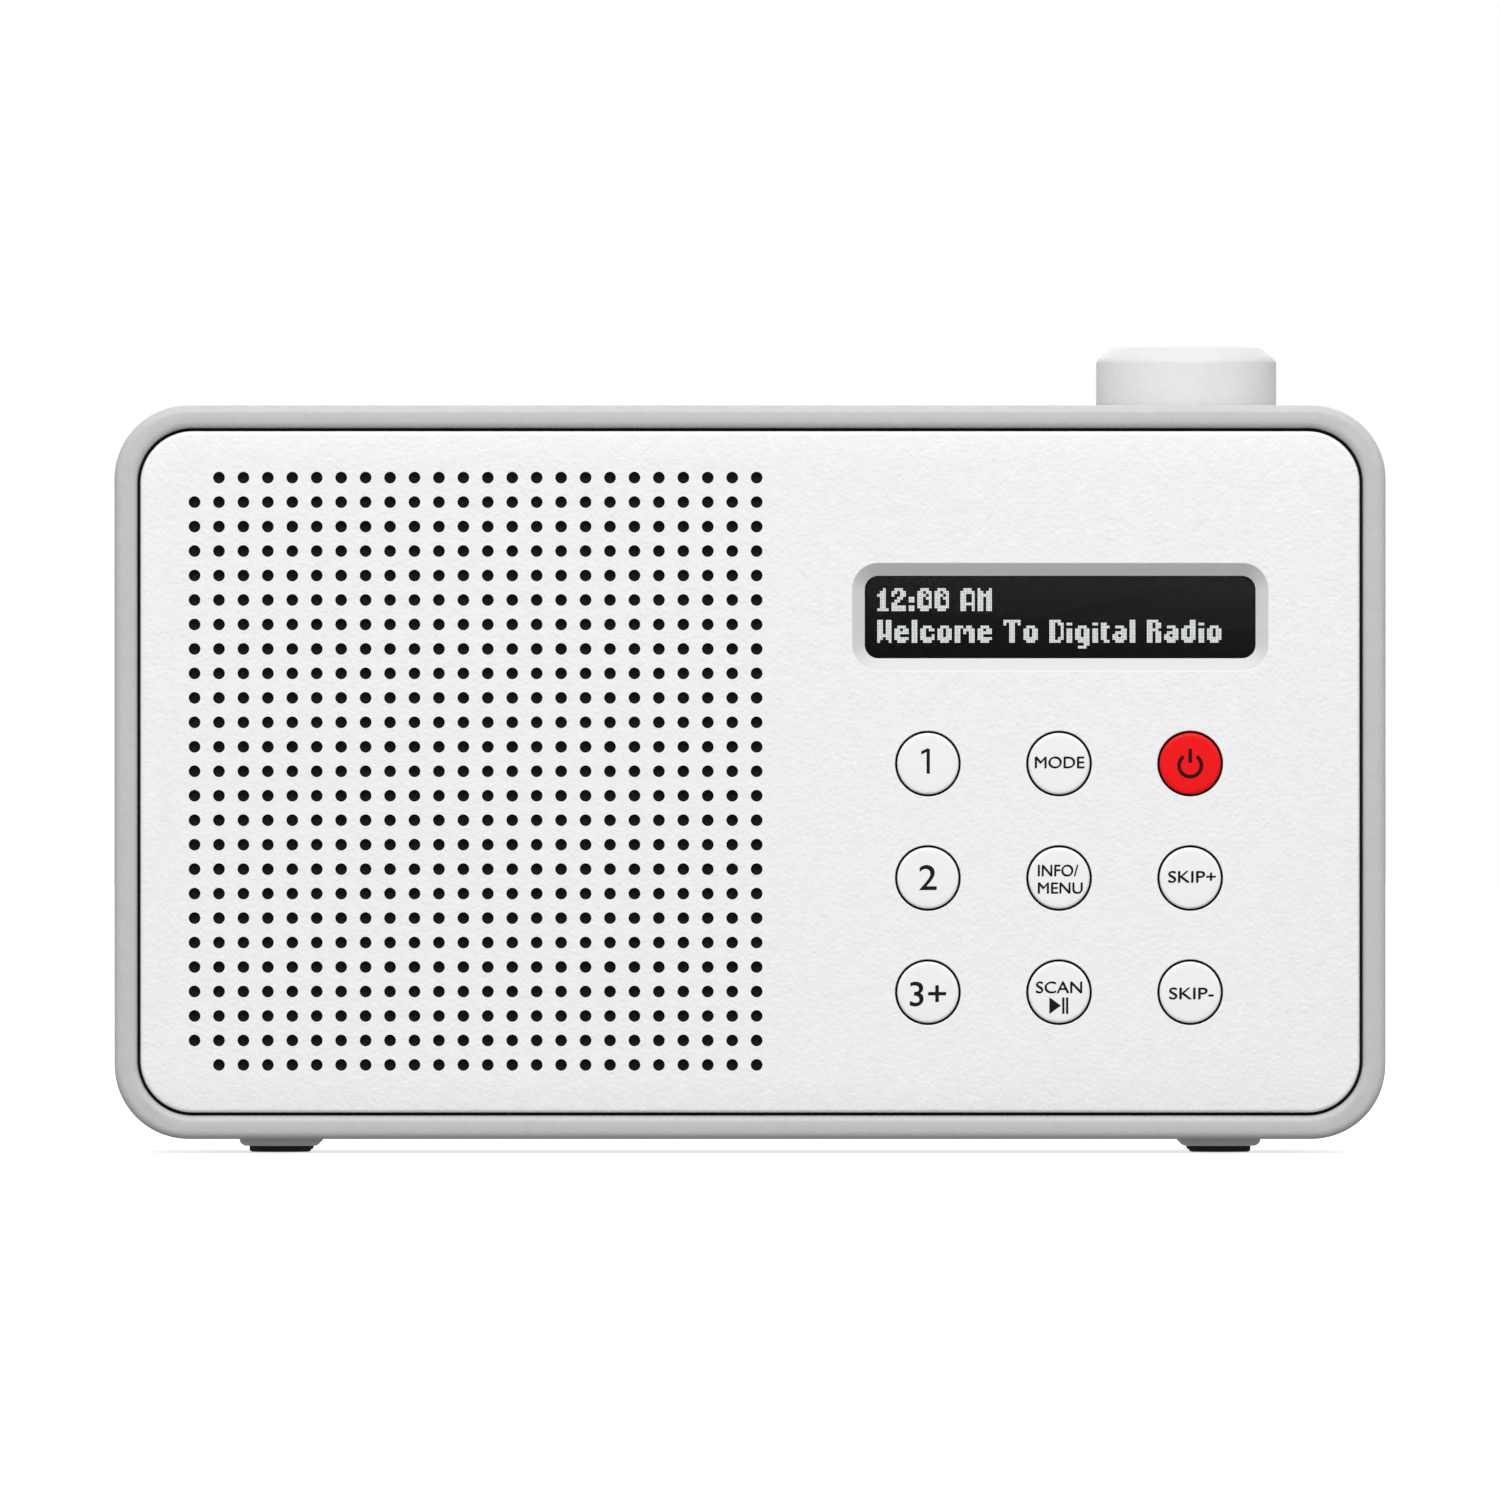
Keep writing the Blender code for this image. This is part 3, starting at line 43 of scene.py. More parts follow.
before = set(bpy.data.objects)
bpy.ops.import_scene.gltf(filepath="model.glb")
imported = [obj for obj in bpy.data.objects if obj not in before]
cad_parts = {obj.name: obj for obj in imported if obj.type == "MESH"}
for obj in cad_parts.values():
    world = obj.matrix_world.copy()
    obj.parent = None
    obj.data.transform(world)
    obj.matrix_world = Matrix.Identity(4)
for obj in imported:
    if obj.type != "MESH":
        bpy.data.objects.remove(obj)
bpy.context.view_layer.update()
BOXES = {name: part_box(name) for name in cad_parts}

MM = 0.001
LINK = 0.000002                 # points closer than this are one point
GAP = 0.3 * MM                  # assembly gap between neighbouring pieces
PAST = 1.0 * MM                 # how far a cutter reaches past the face that it cuts
BITE = 0.5 * MM                 # how deep a joined detail runs into its piece
WALL = 2.6 * MM                 # walls of the cabinet
PANEL_THICK = 3.0 * MM
COVER_THICK = 3.2 * MM
CAP_RADIUS = 5.05 * MM
JOIN_DEPTH = 1.8 * MM           # depth in the panel at which the display's window begins

PANEL_LOW, PANEL_HIGH = BOXES["front_panel"]
CABINET_LOW, CABINET_HIGH = BOXES["cabinet"]
COVER_LOW, COVER_HIGH = BOXES["rear_cover"]
FACE = PANEL_LOW.y
PANEL_BACK = FACE + PANEL_THICK
BODY_LOW = Vector((CABINET_LOW.x, CABINET_LOW.y, COVER_LOW.z))
BODY_HIGH = Vector((CABINET_HIGH.x, COVER_HIGH.y, COVER_HIGH.z))
COVER_BACK = COVER_LOW.y + COVER_THICK

BUTTONS = (
    "button_one", "button_mode", "button_power", "button_two", "button_menu", "button_skip_up",
    "button_three", "button_scan", "button_skip_down",
)
FEET = ("foot_front_left", "foot_front_right", "foot_rear_left", "foot_rear_right")
SCREWS = ("case_screw_1", "case_screw_2", "case_screw_3", "case_screw_4")


# ---- Settings that a user would change --------------------------------------------------

def length(name, description, default):
    return FloatProperty(name=name, description=description, default=default, unit="LENGTH")


def colour(name, description, default):
    return FloatVectorProperty(
        name=name, description=description, default=default, subtype="COLOR")


class RadioSizes(bpy.types.PropertyGroup):
    """Sizes of the visible details, in metres."""

    corner: length("Corner", "Corner radius of the cabinet", 0.0122)
    rim_round: length("Rim rounding", "Rounding of the rim's outer edge", 0.0014)
    mouth_round: length("Mouth rounding", "Rounding of the rim's inner edge", 0.0011)
    panel_corner: length("Panel corner", "Corner radius of the front panel", 0.0086)
    panel_gap: length("Panel gap", "Shadow gap round the front panel", 0.0005)
    panel_round: length("Panel rounding", "Rounding of the panel's front edge", 0.0006)
    hole_radius: length("Grille hole", "Radius of a grille hole", 0.00098)
    hole_pitch_x: length("Column pitch", "Distance between grille columns", 0.0040255)
    hole_pitch_z: length("Row pitch", "Distance between grille rows", 0.0040305)
    columns: IntProperty(name="Columns", description="Grille holes across", default=24)
    rows: IntProperty(name="Rows", description="Grille holes up", default=25)
    grille_thick: length("Grille thickness", "Panel thickness at the grille", 0.0012)
    recess_slope: length("Recess depth", "Depth of the display's sloped frame", 0.0015)
    button_gap: length("Button gap", "Shadow gap round a button", 0.00035)
    display_cell: length("Display cell", "One cell of a letter on the display", 0.000472)
    text_left: length("Text left", "From the window's middle to the text's left end", 0.0301)
    text_top: length("Text top", "From the window's middle to the top of the text", 0.00475)
    camera_height: length("Camera height", "Height of the camera", 0.0663)
    camera_distance: length("Camera distance", "From the camera to the front panel", 6.0)
    frame_width: length("Frame width", "Width that the camera takes in at the front panel", 0.24706)
    light_above: FloatProperty(
        name="Light above", description="Brightness of the studio overhead", default=0.775)
    light_below: FloatProperty(
        name="Light below", description="Brightness of the studio from below", default=0.295)
    side_dimming: FloatProperty(
        name="Side dimming", description="How much darker the studio is at the sides", default=0.08)
    key_power: FloatProperty(
        name="Key light", description="Power of the main light in watts", default=17.6)


class RadioColours(bpy.types.PropertyGroup):
    """Colours of the visible finishes."""

    panel: colour("Panel", "Front panel", (0.885, 0.89, 0.90))
    cabinet: colour("Cabinet", "Cabinet and rear cover", (0.545, 0.545, 0.545))
    button: colour("Button", "Button caps", (0.90, 0.90, 0.91))
    power: colour("Power", "Power button", (0.90, 0.004, 0.006))
    knob: colour("Knob", "Tuning knob", (0.69, 0.695, 0.695))
    # A darker white that paints the shade on the display's sloped frame: painted shade, not a
    # colour of its own
    recess: colour("Recess", "Sloped frame round the display", (0.69, 0.69, 0.70))
    ink: colour("Ink", "Printed legends", (0.008, 0.008, 0.009))
    lit: colour("Lit dots", "Lit dots of the display", (0.80, 0.83, 0.82))


def sizes():
    return bpy.context.scene.radio_sizes


def colours():
    return bpy.context.scene.radio_colours


# ---- Modelling helpers -------------------------------------------------------------------

def only(obj):
    """Leaves obj as the one selected and active object, in object mode."""
    if bpy.context.mode != "OBJECT":
        bpy.ops.object.mode_set(mode="OBJECT")
    bpy.ops.object.select_all(action="DESELECT")
    obj.select_set(True)
    bpy.context.view_layer.objects.active = obj


def added(name):
    """Names the primitive that was just added and puts its place into its mesh."""
    made = bpy.context.object
    made.name = made.data.name = name
    only(made)
    bpy.ops.object.transform_apply(location=True, rotation=True, scale=True)
    return made


def clear_selection():
    if bpy.context.mode != "OBJECT":
        bpy.ops.object.mode_set(mode="OBJECT")
    bpy.ops.object.select_all(action="DESELECT")


def pick(obj, kind, test):
    """Opens obj in edit mode with the elements that pass the test selected."""
    only(obj)
    bpy.ops.object.mode_set(mode="EDIT")
    bpy.ops.mesh.select_mode(type=kind)
    bpy.ops.mesh.select_all(action="DESELECT")
    bm = bmesh.from_edit_mesh(obj.data)
    found = 0
    for element in {"VERT": bm.verts, "EDGE": bm.edges, "FACE": bm.faces}[kind]:
        if test(element):
            element.select_set(True)
            found += 1
    bm.select_flush_mode()
    bmesh.update_edit_mesh(obj.data)
    if not found:
        raise RuntimeError(f"{obj.name}: nothing matches the selection")


def leave_edit():
    bpy.ops.object.mode_set(mode="OBJECT")


def block(name, low, high):
    low, high = Vector(low), Vector(high)
    clear_selection()
    bpy.ops.mesh.primitive_cube_add(size=1, location=(low + high) / 2, scale=high - low)
    return added(name)


def runs_along(edge, axis):
    """True for a straight edge along an axis, 0 for X, 1 for Y and 2 for Z."""
    way = (edge.verts[1].co - edge.verts[0].co).normalized()
    return abs(way[axis]) > 0.9999


def at_level(element, axis, level):
    return all(abs(vert.co[axis] - level) < LINK for vert in element.verts)


def round_off(obj, test, width, segments):
    """Rounds the edges that pass the test."""
    pick(obj, "EDGE", test)
    bpy.ops.mesh.bevel(offset=width, segments=segments, profile=0.5, affect="EDGES")
    leave_edit()


def slab(name, low, high, corner, segments=12, front=0.0, back=0.0, rim_segments=4):
    """A block with its four edges along Y rounded, and its front or back edge too."""
    made = block(name, low, high)
    low, high = Vector(low), Vector(high)
    round_off(made, lambda edge: runs_along(edge, 1), corner, segments)
    if front:
        round_off(made, lambda edge: at_level(edge, 1, low.y), front, rim_segments)
    if back:
        round_off(made, lambda edge: at_level(edge, 1, high.y), back, rim_segments)
    return made


def carve(obj, cutter, operation="DIFFERENCE"):
    """Cuts cutter out of obj, or joins it on, and uses it up."""
    only(obj)
    step = obj.modifiers.new("carve", "BOOLEAN")
    step.operation = operation
    step.solver = "EXACT"
    step.object = cutter
    bpy.ops.object.modifier_apply(modifier=step.name)
    bpy.data.objects.remove(cutter, do_unlink=True)
    return obj


def merged(name, pieces):
    """Several objects as one."""
    clear_selection()
    for each in pieces:
        each.select_set(True)
    bpy.context.view_layer.objects.active = pieces[0]
    if len(pieces) > 1:
        bpy.ops.object.join()
    made = bpy.context.object
    made.name = made.data.name = name
    return made


TURNS = {"X": (0, pi / 2, 0), "Y": (-pi / 2, 0, 0), "Z": (0, 0, 0)}


def profile(level, *rings):
    """Rings given in millimetres, with their distances counted from level."""
    return [(radius * MM, level + way * MM) for radius, way in rings]


def turned(name, rings, place=(0, 0, 0), axis="Z", sides=48):
    """A round piece: rings are (radius, distance along axis), each extruded from the last."""
    clear_selection()
    radius, level = rings[0]
    bpy.ops.mesh.primitive_circle_add(
        vertices=sides, radius=radius, fill_type="NGON", location=(0, 0, level))
    made = added(name)
    bpy.ops.object.mode_set(mode="EDIT")
    bpy.ops.mesh.select_mode(type="FACE")
    bpy.ops.mesh.select_all(action="SELECT")
    for next_radius, next_level in rings[1:]:
        bpy.ops.mesh.extrude_region_move(
            TRANSFORM_OT_translate={"value": (0, 0, next_level - level)})
        factor = next_radius / radius
        bpy.ops.transform.resize(value=(factor, factor, 1), center_override=(0, 0, next_level))
        radius, level = next_radius, next_level
    bpy.ops.mesh.select_all(action="SELECT")
    bpy.ops.mesh.normals_make_consistent(inside=False)
    leave_edit()
    made.rotation_euler = TURNS[axis]
    made.location = place
    only(made)
    bpy.ops.object.transform_apply(location=True, rotation=True, scale=True)
    return made


def rounding(radius, level, size, steps):
    """Rings of a rounded edge, from the flat end at level to the side behind it."""
    turns = [pi / 2 * (1 - step / steps) for step in range(steps + 1)]
    return [(radius - size + size * cos(a), level + size - size * sin(a)) for a in turns]


def raised(depth):
    """Extrudes the selected faces forwards and turns every face outwards."""
    bpy.ops.mesh.extrude_region_move(TRANSFORM_OT_translate={"value": (0, -depth, 0)})
    bpy.ops.mesh.select_all(action="SELECT")
    bpy.ops.mesh.normals_make_consistent(inside=False)
    leave_edit()


def within(place, low, high, spare=LINK):
    """True where x and z lie between two corners, or up to spare outside them."""
    return low.x - spare < place.x < high.x + spare and low.z - spare < place.z < high.z + spare


def tidy_mesh(obj):
    """Merges doubled points and turns every face outwards."""
    pick(obj, "VERT", lambda vert: True)
    bpy.ops.mesh.remove_doubles(threshold=LINK)
    bpy.ops.mesh.normals_make_consistent(inside=False)
    leave_edit()


def finished(obj, body, look, *nodes, slot="", angle=28):
    """Shades a piece, gives it its finish, hangs it on its body and hides the CAD nodes that it
    stands for.
    """
    only(obj)
    bpy.ops.object.shade_smooth_by_angle(angle=radians(angle))
    obj.data.materials.clear()
    obj.data.materials.append(finish(look))
    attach(obj, body)
    slot or look
    if nodes:
        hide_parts(*nodes)


def painted(obj, name, test):
    """Gives the faces that pass the test another finish."""
    obj.data.materials.append(finish(name))
    pick(obj, "FACE", test)
    obj.active_material_index = len(obj.data.materials) - 1
    bpy.ops.object.material_slot_assign()
    leave_edit()


def box_of(node):
    """Lowest and highest corners of a CAD node."""
    low, high = BOXES[node]
    return low.copy(), high.copy()


def middle(node):
    low, high = box_of(node)
    return (low + high) / 2


def half_width(node):
    low, high = BOXES[node]
    return (high.x - low.x) / 2


def copies(pattern, nodes, old, new):
    """Each node with a copy of the pattern at its place, named after it. The pattern stands at
    the first node, and is used up."""
    for node in nodes:
        only(pattern)
        bpy.ops.object.duplicate(linked=False)
        bpy.context.object.location = middle(node) - middle(nodes[0])
        yield node, added(node.replace(old, new))
    bpy.data.objects.remove(pattern, do_unlink=True)


# ---- Finishes ----------------------------------------------------------------------------

def feed(tree, socket, value):
    """Links value into socket if it is an output, and else sets it there."""
    if isinstance(value, bpy.types.NodeSocket):
        tree.links.new(value, socket)
    else:
        socket.default_value = value


def shading(tree, kind, inputs, **settings):
    """A new node with its inputs and settings."""
    made = tree.nodes.new("ShaderNode" + kind)
    for name, value in settings.items():
        setattr(made, name, value)
    for name, value in inputs.items():
        feed(tree, made.inputs[name], value)
    return made


def plain(name, colour, roughness, metallic=0.0):
    """A Principled material and its nodes, with Object coordinates ready."""
    made = bpy.data.materials.new(name)
    made.use_nodes = True
    tree = made.node_tree
    shader = tree.nodes["Principled BSDF"]
    shader.inputs["Base Color"].default_value = (*colour, 1)
    shader.inputs["Roughness"].default_value = roughness
    shader.inputs["Metallic"].default_value = metallic
    return made, tree, shader, shading(tree, "TexCoord", {}).outputs["Object"]


def noise(tree, place, scale, detail=2.0):
    inputs = {"Scale": scale, "Detail": detail, "Vector": place}
    return shading(tree, "TexNoise", inputs).outputs["Fac"]


def spread(tree, value, low, high):
    """The middle of a noise's range, stretched from low to high."""
    inputs = {"From Min": 0.3, "From Max": 0.7, "To Min": low, "To Max": high, "Value": value}
    return shading(tree, "MapRange", inputs).outputs["Result"]


def tinted(tree, value, dark, light):
    inputs = {"A": (*dark, 1), "B": (*light, 1), "Factor": value}
    return shading(tree, "Mix", inputs, data_type="RGBA").outputs["Result"]


def product(tree, first, second):
    return shading(tree, "Math", {0: first, 1: second}, operation="MULTIPLY").outputs[0]


def bumped(tree, shader, height, distance):
    bump = shading(tree, "Bump", {"Strength": 1.0, "Distance": distance, "Height": height})
    feed(tree, shader.inputs["Normal"], bump.outputs["Normal"])


def shade_of(colour, factor):
    return tuple(min(1.0, part * factor) for part in colour)


def moulded(name, colour, roughness=0.42, grain=3200.0, depth=0.000010, mottle=0.02, gloss=0.35):
    """Moulded plastic: a fine spark-eroded grain and a faint mottle in the colour."""
    made, tree, shader, place = plain(name, colour, roughness)
    fine = noise(tree, place, grain, 3.0)
    bumped(tree, shader, fine, depth)
    cloud = spread(tree, noise(tree, place, grain * 0.33, 4.0), 0, 1)
    tint = tinted(tree, cloud, shade_of(colour, 1 - mottle), shade_of(colour, 1 + mottle))
    feed(tree, shader.inputs["Base Color"], tint)
    uneven = spread(tree, fine, roughness - 0.05, roughness + 0.07)
    feed(tree, shader.inputs["Roughness"], uneven)
    shader.inputs["Specular IOR Level"].default_value = gloss
    return made


def metal(name, colour, roughness, streak=(1, 1, 1), depth=0.000002):
    """Metal with fine drawn or brushed streaks along one axis."""
    made, tree, shader, place = plain(name, colour, roughness, 1.0)
    stretch = shading(tree, "Mapping", {"Scale": streak, "Vector": place})
    lines = noise(tree, stretch.outputs["Vector"], 2500.0, 3.0)
    uneven = spread(tree, lines, max(0.02, roughness - 0.05), roughness + 0.08)
    feed(tree, shader.inputs["Roughness"], uneven)
    bumped(tree, shader, lines, depth)
    return made


def woven(name, colour, pitch):
    """Woven cloth: two crossed waves of thread, with the colour painted darker in the dips between
    threads and lighter on their crowns as painted shade and highlight.
    """
    made, tree, shader, place = plain(name, colour, 0.9)
    wave = {"Scale": 0.314 / pitch, "Vector": place}
    heights = product(tree, *(
        shading(tree, "TexWave", wave, bands_direction=way).outputs["Fac"] for way in ("X", "Z")))
    bumped(tree, shader, heights, 0.00005)
    # Painted shade and highlight: the colour follows the weave's heights, dark in the dips and
    # light on the crowns
    tint = tinted(tree, heights, shade_of(colour, 0.4), shade_of(colour, 1.3))
    feed(tree, shader.inputs["Base Color"], tint)
    return made


def glowing(name, colour, strength):
    """Lit display dots, a little uneven as real ones are."""
    made, tree, shader, place = plain(name, (0.05, 0.05, 0.05), 0.5)
    uneven = spread(tree, noise(tree, place, 900.0), 0, 1)
    tint = tinted(tree, uneven, shade_of(colour, 0.92), colour)
    feed(tree, shader.inputs["Emission Color"], tint)
    shader.inputs["Emission Strength"].default_value = strength
    return made


def smoked(name, colour):
    """Smoked clear acrylic, a little uneven in its tint."""
    made, tree, shader, place = plain(name, colour, 0.0)
    shader.inputs["Transmission Weight"].default_value = 1.0
    shader.inputs["IOR"].default_value = 1.28
    shader.inputs["Specular IOR Level"].default_value = 0.12
    cloud = spread(tree, noise(tree, place, 300.0), 0, 1)
    tint = tinted(tree, cloud, shade_of(colour, 0.98), shade_of(colour, 1.02))
    feed(tree, shader.inputs["Base Color"], tint)
    return made


def recipes():
    """Maker and arguments of every finish: for plastic, the colour, roughness, grain, depth
    of the grain in metres, mottle and gloss."""
    tone = colours()
    return {
        "panel_white": (moulded, tone.panel, 0.42, 1500.0, 0.000110),
        # Darker white of the display's sloped frame: painted shade
        "recess_white": (moulded, tone.recess, 0.36, 3600.0, 0.000005, 0.01),
        "cabinet_grey": (moulded, tone.cabinet, 0.40, 1600.0, 0.000045, 0.025),
        "button_white": (moulded, tone.button, 0.34, 3600.0, 0.000006, 0.012),
        "power_red": (moulded, tone.power, 0.34, 3600.0, 0.000006, 0.02, 0.18),
        "knob_white": (moulded, tone.knob, 0.42, 1600.0, 0.000050, 0.02),
        # black_plastic is real black plastic on the sockets and parts inside, and also paints shade
        # on the gap walls round the panel and the buttons
        "black_plastic": (moulded, (0.022, 0.022, 0.023), 0.48, 2400.0),
        "rubber": (moulded, (0.012, 0.012, 0.012), 0.78, 1500.0, 0.000020, 0.15),
        "legend_ink": (moulded, tone.ink, 0.5, 4000.0, 0.000004, 0.1, 0.1),
        "power_ink": (moulded, (0.035, 0.003, 0.004), 0.5, 4000.0, 0.000004, 0.1, 0.1),
        "foam": (moulded, (0.03, 0.03, 0.03), 0.95, 1200.0, 0.00008, 0.3),
        "cone_paper": (moulded, (0.03, 0.03, 0.03), 0.85, 1600.0, 0.00004, 0.25),
        "ferrite": (moulded, (0.035, 0.035, 0.04), 0.65, 1800.0, 0.00002, 0.2),
        "circuit_board": (moulded, (0.012, 0.13, 0.05), 0.38, 900.0, 0.00001, 0.12),
        "grey_wire": (moulded, (0.30, 0.30, 0.31), 0.5, 900.0, 0.00001, 0.05),
        "label": (moulded, (0.60, 0.60, 0.62), 0.35, 1500.0, 0.000003, 0.03),
        "display_glass": (moulded, (0.008, 0.008, 0.008), 0.5, 2000.0, 0.0, 0.1, 0.05),
        "cloth": (woven, (0.006, 0.006, 0.006), 0.0005),
        "window_smoke": (smoked, (0.22, 0.22, 0.22)),
        "lit_dots": (glowing, tone.lit, 6.0),
        "chrome": (metal, (0.78, 0.78, 0.80), 0.10, (0.05, 1, 1)),
        "steel": (metal, (0.56, 0.56, 0.58), 0.30),
        "nickel": (metal, (0.66, 0.62, 0.54), 0.26),
    }


FINISHES = {}


def finish(name):
    """The finish of this name, made on first use."""
    if name not in FINISHES:
        maker, *details = recipes()[name]
        FINISHES[name] = maker(name, *details)
    return FINISHES[name]


# ---- Cabinet -----------------------------------------------------------------------------

class RADIO_OT_cabinet(bpy.types.Operator):
    """Grey sleeve with its rounded rim, foot bosses and the well under the knob"""

    bl_idname = "radio.cabinet"
    bl_label = "Cabinet"

    def execute(self, context):
        size = sizes()
        low = Vector((BODY_LOW.x, FACE, BODY_LOW.z))
        high = Vector((BODY_HIGH.x, CABINET_HIGH.y, BODY_HIGH.z))
        body = slab("cabinet_shell", low, high, size.corner, 24, front=size.rim_round,
                    rim_segments=6)
        for node in FEET:
            x, y, _ = middle(node)
            rings = profile(low.z, (6.75, 1.3), (6.75, -0.3), (6.65, -0.6), (6.4, -0.9))
            rings += profile(CABINET_LOW.z, (6.0, 0.05), (5.8, 0))
            carve(body, turned("boss", rings, (x, y, 0)), "UNION")

        gap = Vector((size.panel_gap, 0, size.panel_gap))
        mouth_low = Vector((PANEL_LOW.x, FACE - WALL, PANEL_LOW.z)) - gap
        mouth_high = Vector((PANEL_HIGH.x, PANEL_BACK + GAP, PANEL_HIGH.z)) + gap
        mouth = slab("mouth", mouth_low, mouth_high, size.panel_corner + size.panel_gap, 24)
        carve(body, mouth)
        round_off(
            body,
            lambda edge: at_level(edge, 1, FACE)
            and all(within(vert.co, mouth_low, mouth_high) for vert in edge.verts)
            and len(edge.link_faces) == 2
            and abs(edge.link_faces[0].normal.dot(edge.link_faces[1].normal)) < 0.5,
            size.mouth_round, 5)

        ledge, shelf = Vector((3.1 * MM, 0, 3.1 * MM)), 2.0 * MM       # width and thickness
        ledge_low = Vector((mouth_low.x, FACE, mouth_low.z)) + ledge
        ledge_high = Vector((mouth_high.x, mouth_high.y + shelf * 2, mouth_high.z)) - ledge
        carve(body, slab("ledge", ledge_low, ledge_high, 5.5 * MM, 8))
        room_low = low + Vector((WALL, mouth_high.y + shelf - low.y, WALL))
        room_high = high + Vector((-WALL, WALL, -WALL))
        carve(body, slab("room", room_low, room_high, size.corner - WALL, 16))
        for node in SCREWS:
            x, _, z = middle(node)
            post = turned("post", profile(high.y, (4, 0), (4, -20)), (x, 0, z), "Y", 24)
            carve(body, post, "UNION")
            pilot = turned("pilot", profile(high.y, (1.7, 2.6), (1.7, -14)), (x, 0, z), "Y", 16)
            carve(body, pilot)

        knob_x, knob_y, _ = middle("tuning_knob")
        reach = half_width("tuning_knob") / MM + 0.6
        carve(body, turned("well", profile(
            high.z, (reach + 0.35, 2.6), (reach + 0.35, 0), (reach + 0.1, -0.1), (reach, -0.35),
            (reach, -0.9)), (knob_x, knob_y, 0), sides=96))
        carve(body, turned(
            "bushing", profile(high.z, (3.8, 0), (3.8, -5.2)), (knob_x, knob_y, 0), sides=32))
        for node in FEET:
            x, y, _ = middle(node)
            radius = half_width(node) + GAP
            carve(body, turned("pocket", [(radius, 0), (radius, 1.9 * MM)], (x, y, 0)))
        tidy_mesh(body)
        finished(body, "cabinet", "cabinet_grey", "cabinet")
        # Painted shadow: the mouth's walls behind the rim's rounding get black_plastic, so the gap
        # round the panel reads as a black shadow line
        shadow = FACE + size.mouth_round + 0.1 * MM

        def in_painted_shadow_gap(face):
            place = face.calc_center_median()
            return shadow < place.y < mouth_high.y + LINK and within(place, mouth_low, mouth_high)

        painted(body, "black_plastic", in_painted_shadow_gap)
        return {"FINISHED"}


# ---- Front panel ---------------------------------------------------------------------------

def grille_field():
    """Low and high corners of the square field of holes, on the panel's face."""
    size = sizes()
    centre = middle("grille_cloth")
    centre.y = FACE
    half = Vector((size.hole_pitch_x * size.columns, 0, size.hole_pitch_z * size.rows)) / 2
    return centre - half, centre + half


SIDE_PARTS = 4                  # edges along each side of a grille cell


def grille_square(centre):
    """One square cell of the grille, flat and without a hole."""
    clear_selection()
    bpy.ops.mesh.primitive_plane_add(size=1, location=centre, rotation=(pi / 2, 0, 0))
    bpy.context.object.scale = (sizes().hole_pitch_x, sizes().hole_pitch_z, 1)
    return added("grille_square")


def split_sides(square):
    pick(square, "EDGE", lambda edge: True)
    bpy.ops.mesh.subdivide(number_cuts=SIDE_PARTS - 1)
    leave_edit()


def grille_tile(low):
    """One cell of the grille: a round hole in a square, as deep as the panel is thick there."""
    size = sizes()
    centre = low + Vector((size.hole_pitch_x, 0, size.hole_pitch_z)) / 2
    radius = size.hole_radius
    clear_selection()
    bpy.ops.mesh.primitive_circle_add(
        vertices=4 * SIDE_PARTS, radius=radius, location=centre, rotation=(pi / 2, 0, 0))
    circle = added("grille_circle")
    square = grille_square(centre)
    pick(square, "FACE", lambda face: True)
    bpy.ops.mesh.delete(type="ONLY_FACE")
    leave_edit()
    split_sides(square)
    tile = merged("grille_tile", [square, circle])
    pick(tile, "EDGE", lambda edge: True)
    bpy.ops.mesh.bridge_edge_loops()
    leave_edit()

    pick(tile, "EDGE", lambda edge: all(
        abs((vert.co - centre).length - radius) < LINK for vert in edge.verts))
    bpy.ops.mesh.extrude_region_move(
        TRANSFORM_OT_translate={"value": (0, size.grille_thick, 0)})
    leave_edit()
    back = FACE + size.grille_thick

    def on_square(edge):
        return all(
            abs(abs(vert.co.x - centre.x) - size.hole_pitch_x / 2) < LINK
            or abs(abs(vert.co.z - centre.z) - size.hole_pitch_z / 2) < LINK
            for vert in edge.verts)

    pick(tile, "EDGE", on_square)
    bpy.ops.mesh.duplicate_move(TRANSFORM_OT_translate={"value": (0, size.grille_thick, 0)})
    leave_edit()
    pick(tile, "EDGE", lambda edge: at_level(edge, 1, back))
    bpy.ops.mesh.bridge_edge_loops()
    leave_edit()
    return tile


def repeat(obj, count, step):
    """Copies obj in a row, merging the points where the copies meet."""
    only(obj)
    row = obj.modifiers.new("row", "ARRAY")
    row.count = count
    row.use_relative_offset = False
    row.use_constant_offset = True
    row.constant_offset_displace = step
    row.use_merge_vertices = True
    row.merge_threshold = LINK
    bpy.ops.object.modifier_apply(modifier=row.name)


def grille_sheet():
    """The whole field of holes. The two left corner cells have none."""
    size = sizes()
    low, high = grille_field()
    half = Vector((size.hole_pitch_x, 0, size.hole_pitch_z)) / 2
    sheet = grille_tile(low)
    repeat(sheet, size.columns, (size.hole_pitch_x, 0, 0))
    repeat(sheet, size.rows, (0, 0, size.hole_pitch_z))
    for centre in (low + half, Vector((low.x + half.x, FACE, high.z - half.z))):
        pick(sheet, "FACE", lambda face: within(
            face.calc_center_median(), centre - half, centre + half, 0))
        bpy.ops.mesh.delete(type="FACE")
        leave_edit()
        for depth in (0, size.grille_thick):
            cell = grille_square(centre + Vector((0, depth, 0)))
            split_sides(cell)
            sheet = merged("grille_sheet", [sheet, cell])
    return sheet


MOUTH_DEPTH = 0.17 * MM         # where the rounded mouth of a button's hole ends


